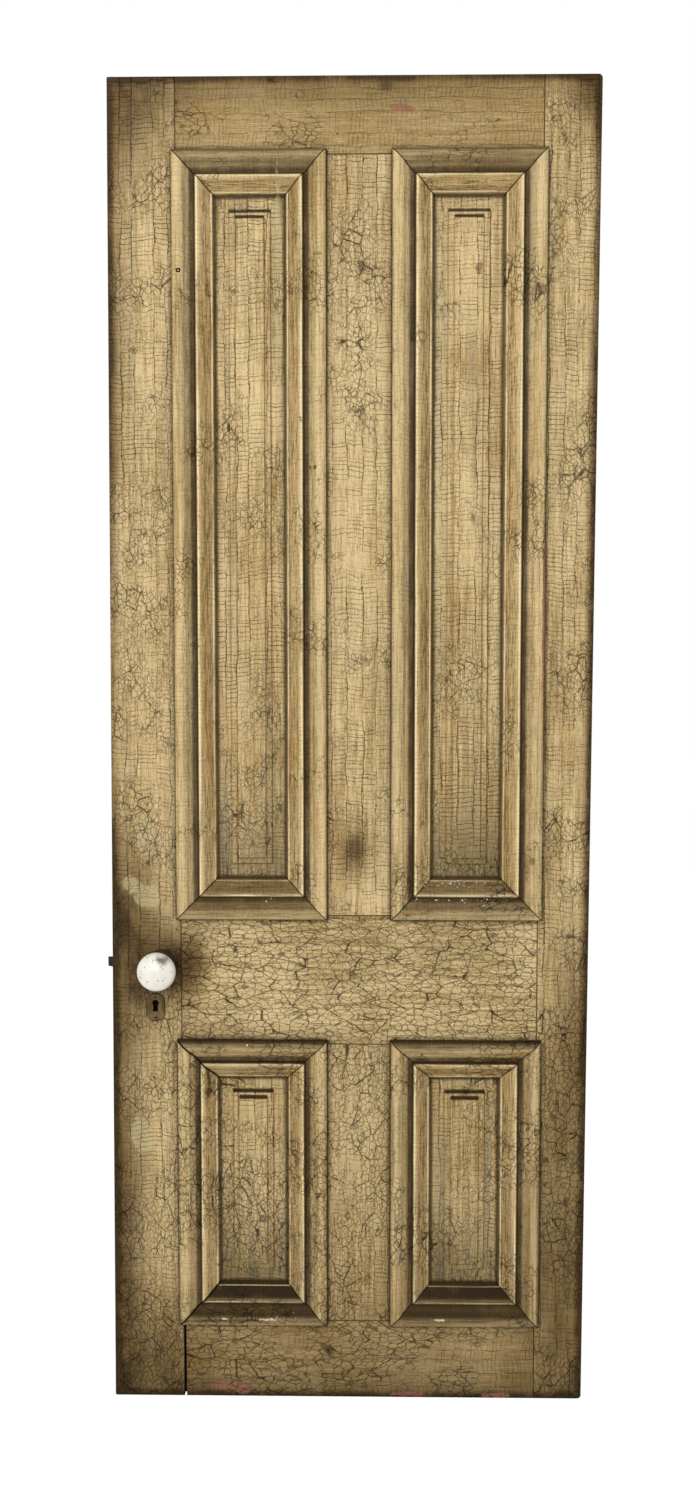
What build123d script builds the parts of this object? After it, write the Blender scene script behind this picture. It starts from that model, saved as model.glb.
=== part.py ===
from build123d import *
from math import acos, atan2, cos, degrees, radians, sin, sqrt, tan
import os

# A four-panel interior door leaf in painted softwood, with a mortise lock and a pair of knobs.
# The origin is at the foot of the centre line, halfway through the thickness.
# X runs from the lock edge to the hinge edge, Y from the front face to the back, and Z up.
# All sizes are in millimetres.

# Leaf: the edges were planed to suit a leaning opening, so they aren't parallel to the centre line
door_width = 711.0
door_height = 1960.0
door_thickness = 35.0
lock_edge_lean = 8.0
hinge_edge_lean = 10.4
hinge_corner_wear = 6.0
lock_corner_wear = 2.5
arris_wear = 1.2

# Stiles, rails and muntins; the stile widths are at mid height
lock_stile_width = 102.0
hinge_stile_width = 77.5
muntin_width = 107.0
bottom_rail_width = 120.0
lock_rail_foot = 547.5
lock_rail_width = 195.0
top_rail_width = 110.5

# Joints of the frame
groove_depth = 11.0
panel_tongue = 7.0
tenon_thickness = 12.0
haunch_width = 32.0
stub_tenon_length = 40.0
wood_fit = 0.1
tenon_end_gap = 0.5
wedge_length = 58.0
wedge_rise = 3.5
wedge_point = 1.0
opened_joint = 3.5

# Panels
panel_play = 2.0
field_margin = 75.0
field_step = 9.0
step_height = 3.0
step_slope = 30.0

# Moulding worked on the back arris of the frame
ovolo_radius = 8.0
ovolo_quirk = 1.0

# Bolection moulding on the front
moulding_width = 62.0
moulding_lip = 6.5
moulding_crest = 10.5
bead_height = 5.4
# Its profile: distance in from its outer edge, and height off the face of the frame
edge_top = (0.0, 2.4)
shoulder_bulge = (2.2, 8.2)
crest_top = (6.5, moulding_crest)
fall_bulge = (12.4, 10.1)
fall_end = (17.6, 7.8)
hollow_curve = (22.6, 3.0)
hollow_end = (28.2, 0.8)
fillet_end = (32.8, 0.8)
bead_start = (33.3, 3.4)
bead_top = (37.4, bead_height)
bead_end = (41.6, 3.6)
slope_end = (55.0, -7.6)
nose_curve = (58.2, -7.9)
nose_end = (59.6, -10.2)
mitre_gap = 0.2
opened_mitre = 1.6

# Hinge gains, for a pair of butt hinges that open away from the front
hinge_height = 89.0
hinge_leaf_width = 28.0
hinge_leaf_thickness = 2.5
upper_hinge_below_head = 178.0
lower_hinge_above_foot = 280.0
hinge_screw_spread = 66.0
hinge_screw_setback = 10.0
hinge_middle_setback = 20.0
pilot_radius = 1.6
pilot_depth = 25.0
overcut = 1.0

# Mortise lock; backsets are measured from the face of the lock
spindle_height = 667.5
backset = 73.0
key_height = 609.0
key_backset = 64.0
lock_face_height = 125.0
lock_face_width = 19.0
lock_face_thickness = 3.0
lock_face_middle = 641.0
case_thickness = 16.0
case_wall = 2.0
case_above_spindle = 23.5
case_below_key = 18.0
pocket_fit = 0.3
tenon_to_pocket = 5.0
bolt_gap = 0.3

# Hub: the follower that the spindle turns
hub_radius = 9.0
journal_radius = 6.9
journal_clearance = 0.1
hub_end_gap = 0.2
horn_reach = 13.5
horn_width = 6.0
horn_rest_angle = 25.0
horn_play = 1.3
horn_thickness = 4.8
window_gap = 1.0

# Latch bolt
latch_throw = 10.5
latch_height = 14.0
latch_thickness = 10.0
latch_tip = 1.5
latch_inside = 8.5
latch_shaft_radius = 3.0
yoke_thickness = 5.0
yoke_bar = 5.0
yoke_arm = 3.5
yoke_hook = 4.0
yoke_back = 27.2
hook_depth = 7.0
bridge_thickness = 3.0
bridge_place = 31.6
bridge_height = 18.0
spring_wire = 0.9
spring_radius = 4.6
spring_turns = 5

# Dead bolt, drawn back flush with the face of the lock
dead_throw = 12.0
dead_height = 14.0
dead_thickness = 10.0
dead_head_length = 18.5
dead_tail_thickness = 5.0
dead_above_key = 8.0
dead_tail_end = 14.5
talon_width = 6.4
talon_depth = 5.0
guide_pin_radius = 2.2
guide_pin_place = 38.5
guide_pin_rise = 7.0
guide_gap = 0.2
detent_radius = 2.0
detent_depth = 1.2
detent_place = 34.5
leaf_thickness = 0.8
leaf_width = 6.0
leaf_pin_radius = 2.0
leaf_rise = 9.0
leaf_nose = 1.4
leaf_bend = 19.0
leaf_end = 38.0
leaf_gap = 0.1
leaf_pin_places = (3.0, 10.0)
leaf_tail = 4.0
nose_turn = 45.0

# Keyhole, on the front only
keyhole_radius = 5.0
keyhole_neck = 6.0
keyhole_foot = 8.5
keyhole_drop = 13.0
passage_margin = 1.0

# Spindle, knobs and shanks
spindle_side = 7.8
square_hole = 8.0
spindle_reach = 44.0
spindle_passage = 9.0
knob_radius = 28.5
knob_front_depth = 18.0
knob_back_depth = 16.0
knob_middle = 49.0
knob_shoulder_turn = 55.0
knob_neck_radius = 11.0
stem_radius = 7.0
stem_length = 12.0
stem_fit = 0.15
shank_radius = 8.0
collar_radius = 11.0
collar_length = 3.0
collar_bevel = 1.0
cup_radius = 12.6
cup_length = 5.5
cup_rim = 1.0
cup_waist = (9.2, 2.5)
set_screw_radius = 2.0
set_screw_length = 5.5
set_screw_place = 17.0

# Roses and escutcheons
rose_radius = 22.0
rose_thickness = 4.0
rose_edge = 1.2
rose_flat = 17.0
rose_shoulder = (20.5, 3.0)
rose_bore_gap = 0.3
rose_screw_place = 15.0
screw_radius = 1.5
screw_head_radius = 3.2
screw_length = 8.5
escutcheon_width = 28.0
escutcheon_height = 42.0
escutcheon_thickness = 1.6
escutcheon_middle = 602.5
escutcheon_corner = 12.0
pin_spread = 30.6
pin_radius = 0.8
pin_head_radius = 1.6
pin_head_height = 0.7
pin_head_slope = 40.0
pin_length = 9.0
face_screw_radius = 1.8
face_screw_head = 3.8
face_screw_length = 18.0
face_screw_inset = 6.0
cap_screw_radius = 1.5
cap_screw_head = 2.6
cap_screw_length = 9.0
cap_boss_radius = 3.4
cap_boss_inset = 6.1
cap_boss_below_head = 7.1
countersink = 82.0
screw_fit = 0.05

# Places worked out from the sizes above
front_y = -door_thickness / 2
back_y = door_thickness / 2
inner_left = -door_width / 2 + lock_stile_width
inner_right = door_width / 2 - hinge_stile_width
muntin_left = (inner_left + inner_right - muntin_width) / 2
muntin_right = muntin_left + muntin_width
lock_rail_head = lock_rail_foot + lock_rail_width
top_rail_foot = door_height - top_rail_width
groove_width = panel_tongue + 2 * wood_fit
outside = door_width / 2 + lock_edge_lean + hinge_edge_lean
openings = {
    "upper_left": (inner_left, muntin_left, lock_rail_head, top_rail_foot),
    "upper_right": (muntin_right, inner_right, lock_rail_head, top_rail_foot),
    "lower_left": (inner_left, muntin_left, bottom_rail_width, lock_rail_foot),
    "lower_right": (muntin_right, inner_right, bottom_rail_width, lock_rail_foot),
}


def lock_edge(height):
    """X of the planed lock edge at a height."""
    return -door_width / 2 + lock_edge_lean * (height / door_height - 0.5)


def hinge_edge(height):
    """X of the planed hinge edge at a height."""
    return door_width / 2 + hinge_edge_lean * (height / door_height - 0.5)


lock_edge_plane = Plane(
    origin=(lock_edge(0), 0, 0), x_dir=(0, 1, 0), z_dir=(door_height, 0, -lock_edge_lean)
)
hinge_edge_plane = Plane(
    origin=(hinge_edge(0), 0, 0), x_dir=(0, 1, 0), z_dir=(-door_height, 0, hinge_edge_lean)
)

lock_face_x = lock_edge(lock_face_middle + lock_face_height / 2)
lock_face_inner = lock_face_x + lock_face_thickness
spindle_x = lock_face_x + backset
key_x = lock_face_x + key_backset
case_foot = key_height - case_below_key
case_head = spindle_height + case_above_spindle
hook_face = spindle_x - horn_reach * sin(radians(horn_rest_angle)) + horn_width / 2 + horn_play
case_end = hook_face + yoke_hook + latch_throw + 2 * bolt_gap + case_wall
face_screw_levels = [
    lock_face_middle + end * (lock_face_height / 2 - face_screw_inset) for end in (-1, 1)
]
dead_foot = key_height + dead_above_key
dead_head = dead_foot + dead_height
inner_half = case_thickness / 2 - case_wall
window_half = horn_reach + horn_width / 2 + window_gap
neck_place = knob_middle - knob_back_depth * sqrt(1 - (knob_neck_radius / knob_radius) ** 2)
sides = {"front": -1, "back": 1}

top_tenon = (top_rail_foot + groove_depth, door_height - haunch_width)
upper_lock_tenon = (case_head + pocket_fit + tenon_to_pocket, lock_rail_head - groove_depth)
lower_lock_tenon = (lock_rail_foot + groove_depth, case_foot - pocket_fit - tenon_to_pocket)
bottom_tenon = (haunch_width, bottom_rail_width - groove_depth)
rail_tenons = {
    "top": [top_tenon],
    "lock": [upper_lock_tenon, lower_lock_tenon],
    "bottom": [bottom_tenon],
}
haunches = {
    "top": (top_rail_foot + groove_depth, door_height),
    "lock": (lock_rail_foot + groove_depth, lock_rail_head - groove_depth),
    "bottom": (0, bottom_rail_width - groove_depth),
}
all_tenons = [tenon for tenons in rail_tenons.values() for tenon in tenons]
hinge_middles = [
    lower_hinge_above_foot + hinge_height / 2,
    door_height - upper_hinge_below_head - hinge_height / 2,
]


# Shapes that several pieces share


def slab(x_low, x_high, z_low, z_high, thickness, mode=Mode.ADD):
    """A rectangle of the door's elevation, centred in its thickness."""
    with BuildSketch(Plane.XZ) as elevation:
        with Locations(((x_low + x_high) / 2, (z_low + z_high) / 2)):
            Rectangle(x_high - x_low, z_high - z_low)
    extrude(elevation.sketch, amount=thickness / 2, both=True, mode=mode)


def bore(x, z, radius, y_low, y_high, mode=Mode.SUBTRACT):
    """A round hole or pin that runs from front to back."""
    with BuildSketch(Plane.XZ.offset(-y_low)) as section:
        with Locations((x, z)):
            Circle(radius)
    extrude(section.sketch, amount=y_low - y_high, mode=mode)


def plane_lock_edge():
    """Planes the lock edge after the joints are made."""
    split(bisect_by=lock_edge_plane, keep=Keep.TOP)


def plane_hinge_edge():
    """Planes the hinge edge after the joints are made."""
    split(bisect_by=hinge_edge_plane, keep=Keep.TOP)


def wedged_mortise(side, tenon):
    """The through mortise of a tenon, which flares to the edge for its wedges."""
    inner = inner_left if side < 0 else inner_right
    edge = lock_edge if side < 0 else hinge_edge
    z_low, z_high = tenon
    middle = (z_low + z_high) / 2
    wedge_start = edge(middle) - side * wedge_length
    flare_end = side * outside
    flare = wedge_rise * abs(flare_end - wedge_start) / wedge_length
    with BuildSketch(Plane.XZ) as elevation:
        with BuildLine():
            Polyline(
                (inner, z_low - wood_fit),
                (inner, z_high + wood_fit),
                (wedge_start, z_high + wood_fit),
                (flare_end, z_high + wood_fit + flare),
                (flare_end, z_low - wood_fit - flare),
                (wedge_start, z_low - wood_fit),
                close=True,
            )
        make_face()
    return elevation.sketch


def lock_face_recess():
    """The recess that the face of the lock is let into, and the holes for its two screws."""
    with BuildSketch(Plane.YZ.offset(-outside)) as recess:
        with Locations((0, lock_face_middle)):
            Rectangle(lock_face_width + 2 * wood_fit, lock_face_height + 2 * wood_fit)
    extrude(recess.sketch, amount=lock_face_inner + outside, mode=Mode.SUBTRACT)
    with BuildSketch(Plane.YZ.offset(lock_face_inner)) as holes:
        with Locations((0, face_screw_levels[0]), (0, face_screw_levels[1])):
            Circle(face_screw_radius + screw_fit)
    extrude(holes.sketch, amount=face_screw_length, mode=Mode.SUBTRACT)


def lock_pocket():
    """The mortise of the lock, and the passages of the spindle and, on the front, of the key."""
    slab(
        -outside,
        case_end + pocket_fit,
        case_foot - pocket_fit,
        case_head + pocket_fit,
        case_thickness + 2 * pocket_fit,
        Mode.SUBTRACT,
    )
    bore(spindle_x, spindle_height, spindle_passage, front_y, back_y)
    extrude(keyhole(passage_margin), amount=door_thickness, mode=Mode.SUBTRACT)


def keyhole(margin=0.0):
    """The elevation of the keyhole: a round head over a foot that widens downwards."""
    with BuildSketch(Plane.XZ) as outline:
        with Locations((key_x, key_height)):
            Circle(keyhole_radius)
        with BuildLine():
            Polyline(
                (key_x - keyhole_neck / 2, key_height),
                (key_x + keyhole_neck / 2, key_height),
                (key_x + keyhole_foot / 2, key_height - keyhole_drop),
                (key_x - keyhole_foot / 2, key_height - keyhole_drop),
                close=True,
            )
        make_face()
        if margin:
            offset(amount=margin, kind=Kind.INTERSECTION)
    return outline.sketch


def ovolo_cutter(opening):
    """What the moulding plane takes off the back arris round one opening."""
    x_low, x_high, z_low, z_high = opening
    x_middle = (x_low + x_high) / 2
    width = ovolo_radius + ovolo_quirk
    with BuildPart() as cutter:
        with BuildLine() as path:
            Polyline(
                (x_middle, 0, z_high),
                (x_high, 0, z_high),
                (x_high, 0, z_low),
                (x_low, 0, z_low),
                (x_low, 0, z_high),
                close=True,
            )
        with BuildSketch(Plane(origin=(x_middle, 0, z_high), x_dir=(0, 0, 1), z_dir=(1, 0, 0))):
            with BuildLine():
                Polyline(
                    (ovolo_quirk, width - back_y),
                    (-ovolo_quirk, width - back_y),
                    (-ovolo_quirk, -back_y - ovolo_quirk),
                    (width, -back_y - ovolo_quirk),
                    (width, ovolo_quirk - back_y),
                )
                RadiusArc((width, ovolo_quirk - back_y), (ovolo_quirk, width - back_y), ovolo_radius)
            make_face()
        sweep(path=path.line, transition=Transition.RIGHT)
    return cutter.part


def layer(x_low, x_high, z_low, z_high, y_low, y_high, mode=Mode.ADD):
    """A rectangle of the elevation between two depths."""
    with BuildSketch(Plane.XZ.offset(-y_low)) as elevation:
        with Locations(((x_low + x_high) / 2, (z_low + z_high) / 2)):
            Rectangle(x_high - x_low, z_high - z_low)
    extrude(elevation.sketch, amount=y_low - y_high, mode=mode)


def face_plane(side, x, z, lift=0.0):
    """A plane on the front (-1) or back (1) face, looking outwards."""
    return Plane(
        origin=(x, side * (door_thickness / 2 + lift), z),
        x_dir=(-side, 0, 0),
        z_dir=(0, side, 0),
    )


def turning_plane(side):
    """A plane through the spindle: X is the radius and Y the distance off the face."""
    return Plane(
        origin=(spindle_x, side * door_thickness / 2, spindle_height),
        x_dir=(1, 0, 0),
        z_dir=(0, 0, side),
    )


def countersunk_screw(radius, head_radius, length):
    """A screw that points down from its head, which is level with Z = 0."""
    head_depth = (head_radius - radius) / tan(radians(countersink / 2))
    with BuildPart() as screw:
        with BuildSketch(Plane.XZ):
            with BuildLine():
                Polyline(
                    (0, 0),
                    (head_radius, 0),
                    (radius, -head_depth),
                    (radius, radius - length),
                    (0, -length),
                    close=True,
                )
            make_face()
        revolve(axis=Axis.Z)
    return screw.part


def gain_plane(middle):
    """The plane of the hinge edge at the middle of a hinge, with its X axis along Y."""
    return Plane(
        origin=(hinge_edge(middle), 0, middle),
        x_dir=(0, 1, 0),
        z_dir=(door_height, 0, -hinge_edge_lean),
    )


ovolo_cutters = [ovolo_cutter(opening) for opening in openings.values()]

os.makedirs("parts", exist_ok=True)


# Lock stile: its edge is mortised for the lock, and three rails are tenoned through it
with BuildPart() as lock_stile:
    slab(-outside, inner_left, 0, door_height, door_thickness)
    plane_lock_edge()
    fillet(lock_stile.edges().filter_by(Axis.Y).sort_by(Axis.X)[:2], radius=lock_corner_wear)
    long_edges = lock_stile.edges().filter_by(lambda edge: edge.length > door_height / 2)
    fillet(long_edges.sort_by(Axis.X)[:2], radius=arris_wear)
    slab(inner_left - groove_depth, inner_left, 0, door_height, groove_width, Mode.SUBTRACT)
    for haunch in haunches.values():
        slab(
            inner_left - groove_depth,
            inner_left,
            haunch[0] - wood_fit,
            haunch[1] + wood_fit,
            tenon_thickness + 2 * wood_fit,
            Mode.SUBTRACT,
        )
    for tenon in all_tenons:
        mortise = wedged_mortise(-1, tenon)
        extrude(mortise, amount=tenon_thickness / 2 + wood_fit, both=True, mode=Mode.SUBTRACT)
    lock_pocket()
    lock_face_recess()
    screw_hole = screw_radius + screw_fit
    for place in (-rose_screw_place, rose_screw_place):
        level = spindle_height + place
        bore(spindle_x, level, screw_hole, front_y, front_y + screw_length)
        bore(spindle_x, level, screw_hole, back_y - screw_length, back_y)
    for place in (-pin_spread / 2, pin_spread / 2):
        level = escutcheon_middle + place
        bore(key_x, level, pin_radius + screw_fit, front_y, front_y + pin_length)
    for cutter in ovolo_cutters:
        add(cutter, mode=Mode.SUBTRACT)
lock_stile.part.label = "lock_stile"
export_step(lock_stile.part, "parts/lock_stile.step")


# Hinge stile: two gains for butt hinges are cut in its edge, open to the back face
with BuildPart() as hinge_stile:
    slab(inner_right, outside, 0, door_height, door_thickness)
    plane_hinge_edge()
    fillet(hinge_stile.edges().filter_by(Axis.Y).sort_by(Axis.X)[-2:], radius=hinge_corner_wear)
    long_edges = hinge_stile.edges().filter_by(lambda edge: edge.length > door_height / 2)
    fillet(long_edges.sort_by(Axis.X)[-2:], radius=arris_wear)
    slab(inner_right, inner_right + groove_depth, 0, door_height, groove_width, Mode.SUBTRACT)
    for haunch in haunches.values():
        slab(
            inner_right,
            inner_right + groove_depth,
            haunch[0] - wood_fit,
            haunch[1] + wood_fit,
            tenon_thickness + 2 * wood_fit,
            Mode.SUBTRACT,
        )
    for tenon in all_tenons:
        mortise = wedged_mortise(1, tenon)
        extrude(mortise, amount=tenon_thickness / 2 + wood_fit, both=True, mode=Mode.SUBTRACT)
    for middle in hinge_middles:
        with BuildSketch(gain_plane(middle)):
            with Locations((back_y - hinge_leaf_width / 2 + overcut, 0)):
                Rectangle(hinge_leaf_width + 2 * overcut, hinge_height)
        extrude(amount=-hinge_leaf_thickness, mode=Mode.SUBTRACT)
        with BuildSketch(Plane.YZ.offset(hinge_edge(middle) + hinge_leaf_thickness)):
            with Locations(
                (back_y - hinge_screw_setback, middle - hinge_screw_spread / 2),
                (back_y - hinge_middle_setback, middle),
                (back_y - hinge_screw_setback, middle + hinge_screw_spread / 2),
            ):
                Circle(pilot_radius)
        extrude(amount=-2 * hinge_leaf_thickness - pilot_depth, mode=Mode.SUBTRACT)
    for cutter in ovolo_cutters:
        add(cutter, mode=Mode.SUBTRACT)
hinge_stile.part.label = "hinge_stile"
export_step(hinge_stile.part, "parts/hinge_stile.step")


# Rails: each has haunched tenons that run through both stiles, and grooves for the panels
rail_levels = {
    "top": (top_rail_foot, door_height),
    "lock": (lock_rail_foot, lock_rail_head),
    "bottom": (0, bottom_rail_width),
}
muntin_tenon = (muntin_left + groove_depth, muntin_right - groove_depth)
for name, (rail_foot, rail_head) in rail_levels.items():
    haunch_foot, haunch_head = haunches[name]
    with BuildPart() as rail:
        shoulder_gap = opened_joint if name == "bottom" else 0
        slab(inner_left + shoulder_gap, inner_right, rail_foot, rail_head, door_thickness)
        if name != "lock":
            outer_end = -1 if name == "top" else 0
            fillet(rail.edges().filter_by(Axis.X).group_by(Axis.Z)[outer_end], radius=arris_wear)
        slab(
            inner_left - groove_depth + tenon_end_gap,
            inner_right + groove_depth - tenon_end_gap,
            haunch_foot,
            haunch_head,
            tenon_thickness,
        )
        for tenon_foot, tenon_head in rail_tenons[name]:
            slab(-outside, outside, tenon_foot, tenon_head, tenon_thickness)
        plane_lock_edge()
        plane_hinge_edge()
        grooved = []
        if name != "bottom":
            grooved.append((rail_foot, rail_foot + groove_depth, 1))
        if name != "top":
            grooved.append((rail_head - groove_depth, rail_head, -1))
        for groove_foot, groove_head, inward in grooved:
            slab(inner_left, inner_right, groove_foot, groove_head, groove_width, Mode.SUBTRACT)
            edge_z = groove_foot if inward > 0 else groove_head
            mortise_end = edge_z + inward * (stub_tenon_length + tenon_end_gap)
            slab(
                muntin_tenon[0] - wood_fit,
                muntin_tenon[1] + wood_fit,
                min(edge_z, mortise_end),
                max(edge_z, mortise_end),
                tenon_thickness + 2 * wood_fit,
                Mode.SUBTRACT,
            )
        if name == "lock":
            lock_pocket()
            lock_face_recess()
        for cutter in ovolo_cutters:
            add(cutter, mode=Mode.SUBTRACT)
    rail.part.label = f"{name}_rail"
    export_step(rail.part, f"parts/{name}_rail.step")


# Muntins: stub tenoned between the rails, and grooved on both edges
muntin_levels = {
    "upper": (lock_rail_head, top_rail_foot),
    "lower": (bottom_rail_width, lock_rail_foot),
}
for name, (muntin_foot, muntin_head) in muntin_levels.items():
    with BuildPart() as muntin:
        slab(muntin_left, muntin_right, muntin_foot, muntin_head, door_thickness)
        slab(
            muntin_tenon[0],
            muntin_tenon[1],
            muntin_foot - stub_tenon_length,
            muntin_head + stub_tenon_length,
            tenon_thickness,
        )
        for groove_left in (muntin_left, muntin_right - groove_depth):
            slab(
                groove_left,
                groove_left + groove_depth,
                muntin_foot,
                muntin_head,
                groove_width,
                Mode.SUBTRACT,
            )
        for cutter in ovolo_cutters:
            add(cutter, mode=Mode.SUBTRACT)
    muntin.part.label = f"{name}_muntin"
    export_step(muntin.part, f"parts/{name}_muntin.step")


# Wedges: a pair is driven beside each end of each through tenon, then planed off flush
with BuildPart() as tenon_wedges:
    for side, edge in ((-1, lock_edge), (1, hinge_edge)):
        for tenon in all_tenons:
            tenon_middle = (tenon[0] + tenon[1]) / 2
            wedge_start = edge(tenon_middle) - side * wedge_length
            wedge_end = side * outside
            slope = wedge_rise / wedge_length
            point_x = wedge_start + side * wedge_point / slope
            for tenon_side, up in ((tenon[0], -1), (tenon[1], 1)):
                base = tenon_side + up * wood_fit
                with BuildSketch(Plane.XZ) as elevation:
                    with BuildLine():
                        Polyline(
                            (point_x, base),
                            (wedge_end, base),
                            (wedge_end, base + up * slope * abs(wedge_end - wedge_start)),
                            (point_x, base + up * wedge_point),
                            close=True,
                        )
                    make_face()
                extrude(amount=tenon_thickness / 2, both=True)
    plane_lock_edge()
    plane_hinge_edge()
    lock_face_recess()
tenon_wedges.part.label = "tenon_wedges"
export_step(tenon_wedges.part, "parts/tenon_wedges.step")


# Panels: a thin tongue all round sits loose in the grooves, and the face rises in two steps
for name, (x_low, x_high, z_low, z_high) in openings.items():
    tongue = groove_depth - panel_play
    with BuildPart() as panel:
        slab(x_low - tongue, x_high + tongue, z_low - tongue, z_high + tongue, panel_tongue)
        surface = panel_tongue / 2
        for inset in (field_margin, field_margin + field_step):
            with BuildSketch(Plane.XZ.offset(surface)):
                with Locations(((x_low + x_high) / 2, (z_low + z_high) / 2)):
                    Rectangle(x_high - x_low - 2 * inset, z_high - z_low - 2 * inset)
            extrude(amount=step_height, taper=step_slope)
            surface += step_height
    panel.part.label = f"{name}_panel"
    export_step(panel.part, f"parts/{name}_panel.step")


# Bolection moulding: strips mitred round each opening, rebated over the frame's edges
def bolection_strip(corner, inward, length, gaps):
    """A strip that starts at an outer corner and runs to the next one."""
    start = Vector(*corner)
    inward = Vector(*inward)
    along = inward.cross(Vector(0, -1, 0))
    panel_drop = -(door_thickness - panel_tongue) / 2
    with BuildPart() as strip:
        with BuildSketch(Plane(origin=start, x_dir=inward, z_dir=along)):
            with BuildLine():
                Polyline(
                    nose_end,
                    (moulding_width, panel_drop),
                    (moulding_lip, panel_drop),
                    (moulding_lip, 0),
                    (0, 0),
                    edge_top,
                )
                ThreePointArc(edge_top, shoulder_bulge, crest_top)
                ThreePointArc(crest_top, fall_bulge, fall_end)
                ThreePointArc(fall_end, hollow_curve, hollow_end)
                Polyline(hollow_end, fillet_end, bead_start)
                ThreePointArc(bead_start, bead_top, bead_end)
                Line(bead_end, slope_end)
                ThreePointArc(slope_end, nose_curve, nose_end)
            make_face()
        extrude(amount=length)
        end = start + along * length
        first_gap, last_gap = gaps
        first_mitre = (along - inward).normalized()
        last_mitre = (-along - inward).normalized()
        split(bisect_by=Plane(origin=start + first_mitre * first_gap / 2, z_dir=first_mitre))
        split(bisect_by=Plane(origin=end + last_mitre * last_gap / 2, z_dir=last_mitre))
    return strip


for name, (x_low, x_high, z_low, z_high) in openings.items():
    left = x_low - moulding_lip
    right = x_high + moulding_lip
    foot = z_low - moulding_lip
    head = z_high + moulding_lip
    opened = opened_mitre if name == "lower_left" else mitre_gap
    strips = {
        "left": ((left, head), (1, 0), head - foot, (opened, opened)),
        "bottom": ((left, foot), (0, 1), right - left, (opened, mitre_gap)),
        "right": ((right, foot), (-1, 0), head - foot, (mitre_gap, mitre_gap)),
        "top": ((right, head), (0, -1), right - left, (mitre_gap, opened)),
    }
    for side, (corner, inward, length, gaps) in strips.items():
        strip = bolection_strip(
            (corner[0], front_y, corner[1]), (inward[0], 0, inward[1]), length, gaps
        )
        strip.part.label = f"{name}_{side}_moulding"
        export_step(strip.part, f"parts/{name}_{side}_moulding.step")


# Lock case: cast with its face, which is let into the edge; the cap closes its open side
bridge_x = lock_face_x + bridge_place
dead_pin_x = lock_face_x + guide_pin_place
dead_pin_z = dead_foot + guide_pin_rise
detent_x = lock_face_x + detent_place
leaf_z = dead_head + leaf_rise
leaf_start = detent_x + leaf_end
leaf_pins = [
    (leaf_start - place, leaf_z + up * (leaf_thickness / 2 + leaf_gap + leaf_pin_radius))
    for place, up in zip(leaf_pin_places, (-1, 1))
]
cap_bosses = [
    (lock_face_inner + cap_boss_inset, case_head - cap_boss_below_head),
    (case_end - cap_boss_inset, case_foot + cap_boss_inset),
]
with BuildPart() as lock_case:
    layer(lock_face_inner, case_end, case_foot, case_head, -inner_half, case_thickness / 2)
    layer(
        lock_face_inner,
        case_end - case_wall,
        case_foot + case_wall,
        case_head - case_wall,
        -inner_half,
        inner_half,
        Mode.SUBTRACT,
    )
    slab(
        lock_face_x,
        lock_face_inner,
        lock_face_middle - lock_face_height / 2,
        lock_face_middle + lock_face_height / 2,
        lock_face_width,
    )
    layer(
        bridge_x,
        bridge_x + bridge_thickness,
        spindle_height - bridge_height / 2,
        spindle_height + bridge_height / 2,
        -inner_half,
        inner_half,
    )
    bore(dead_pin_x, dead_pin_z, guide_pin_radius, -inner_half, inner_half, Mode.ADD)
    for x, z in leaf_pins:
        bore(x, z, leaf_pin_radius, -leaf_width / 2, inner_half, Mode.ADD)
    for x, z in cap_bosses:
        bore(x, z, cap_boss_radius, -inner_half, inner_half, Mode.ADD)
        bore(x, z, cap_screw_radius + screw_fit, -inner_half, inner_half - overcut)
    with BuildSketch(Plane.YZ.offset(bridge_x)):
        with Locations((0, spindle_height)):
            Circle(latch_shaft_radius + bolt_gap)
        with Locations((-inner_half / 2, spindle_height)):
            Rectangle(inner_half, 2 * (latch_shaft_radius + bolt_gap))
    extrude(amount=bridge_thickness, mode=Mode.SUBTRACT)
    slab(
        lock_face_x,
        lock_face_inner,
        spindle_height - latch_height / 2 - bolt_gap,
        spindle_height + latch_height / 2 + bolt_gap,
        latch_thickness + 2 * bolt_gap,
        Mode.SUBTRACT,
    )
    slab(
        lock_face_x,
        lock_face_inner,
        dead_foot - bolt_gap,
        dead_head + bolt_gap,
        dead_thickness + 2 * bolt_gap,
        Mode.SUBTRACT,
    )
    bore(spindle_x, spindle_height, journal_radius + journal_clearance, 0, case_thickness)
    with Locations(Plane(origin=(lock_face_x, 0, 0), x_dir=(0, 1, 0), z_dir=(-1, 0, 0))):
        with Locations((0, -face_screw_levels[0]), (0, -face_screw_levels[1])):
            CounterSinkHole(
                face_screw_radius + screw_fit,
                face_screw_head + screw_fit,
                depth=2 * lock_face_thickness,
            )
lock_case.part.label = "lock_case"
export_step(lock_case.part, "parts/lock_case.step")

with BuildPart() as lock_cap:
    layer(lock_face_inner, case_end, case_foot, case_head, -case_thickness / 2, -inner_half)
    bore(spindle_x, spindle_height, journal_radius + journal_clearance, -case_thickness, 0)
    extrude(keyhole(), amount=case_thickness, both=True, mode=Mode.SUBTRACT)
    with Locations(Plane.XZ.offset(case_thickness / 2)):
        with Locations(*cap_bosses):
            CounterSinkHole(
                cap_screw_radius + screw_fit, cap_screw_head + screw_fit, depth=2 * case_wall
            )
lock_cap.part.label = "lock_cap"
export_step(lock_cap.part, "parts/lock_cap.step")

with BuildPart() as cap_screws:
    with Locations(Plane.XZ.offset(case_thickness / 2)):
        with Locations(*cap_bosses):
            add(countersunk_screw(cap_screw_radius, cap_screw_head, cap_screw_length))
cap_screws.part.label = "cap_screws"
export_step(cap_screws.part, "parts/cap_screws.step")

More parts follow.
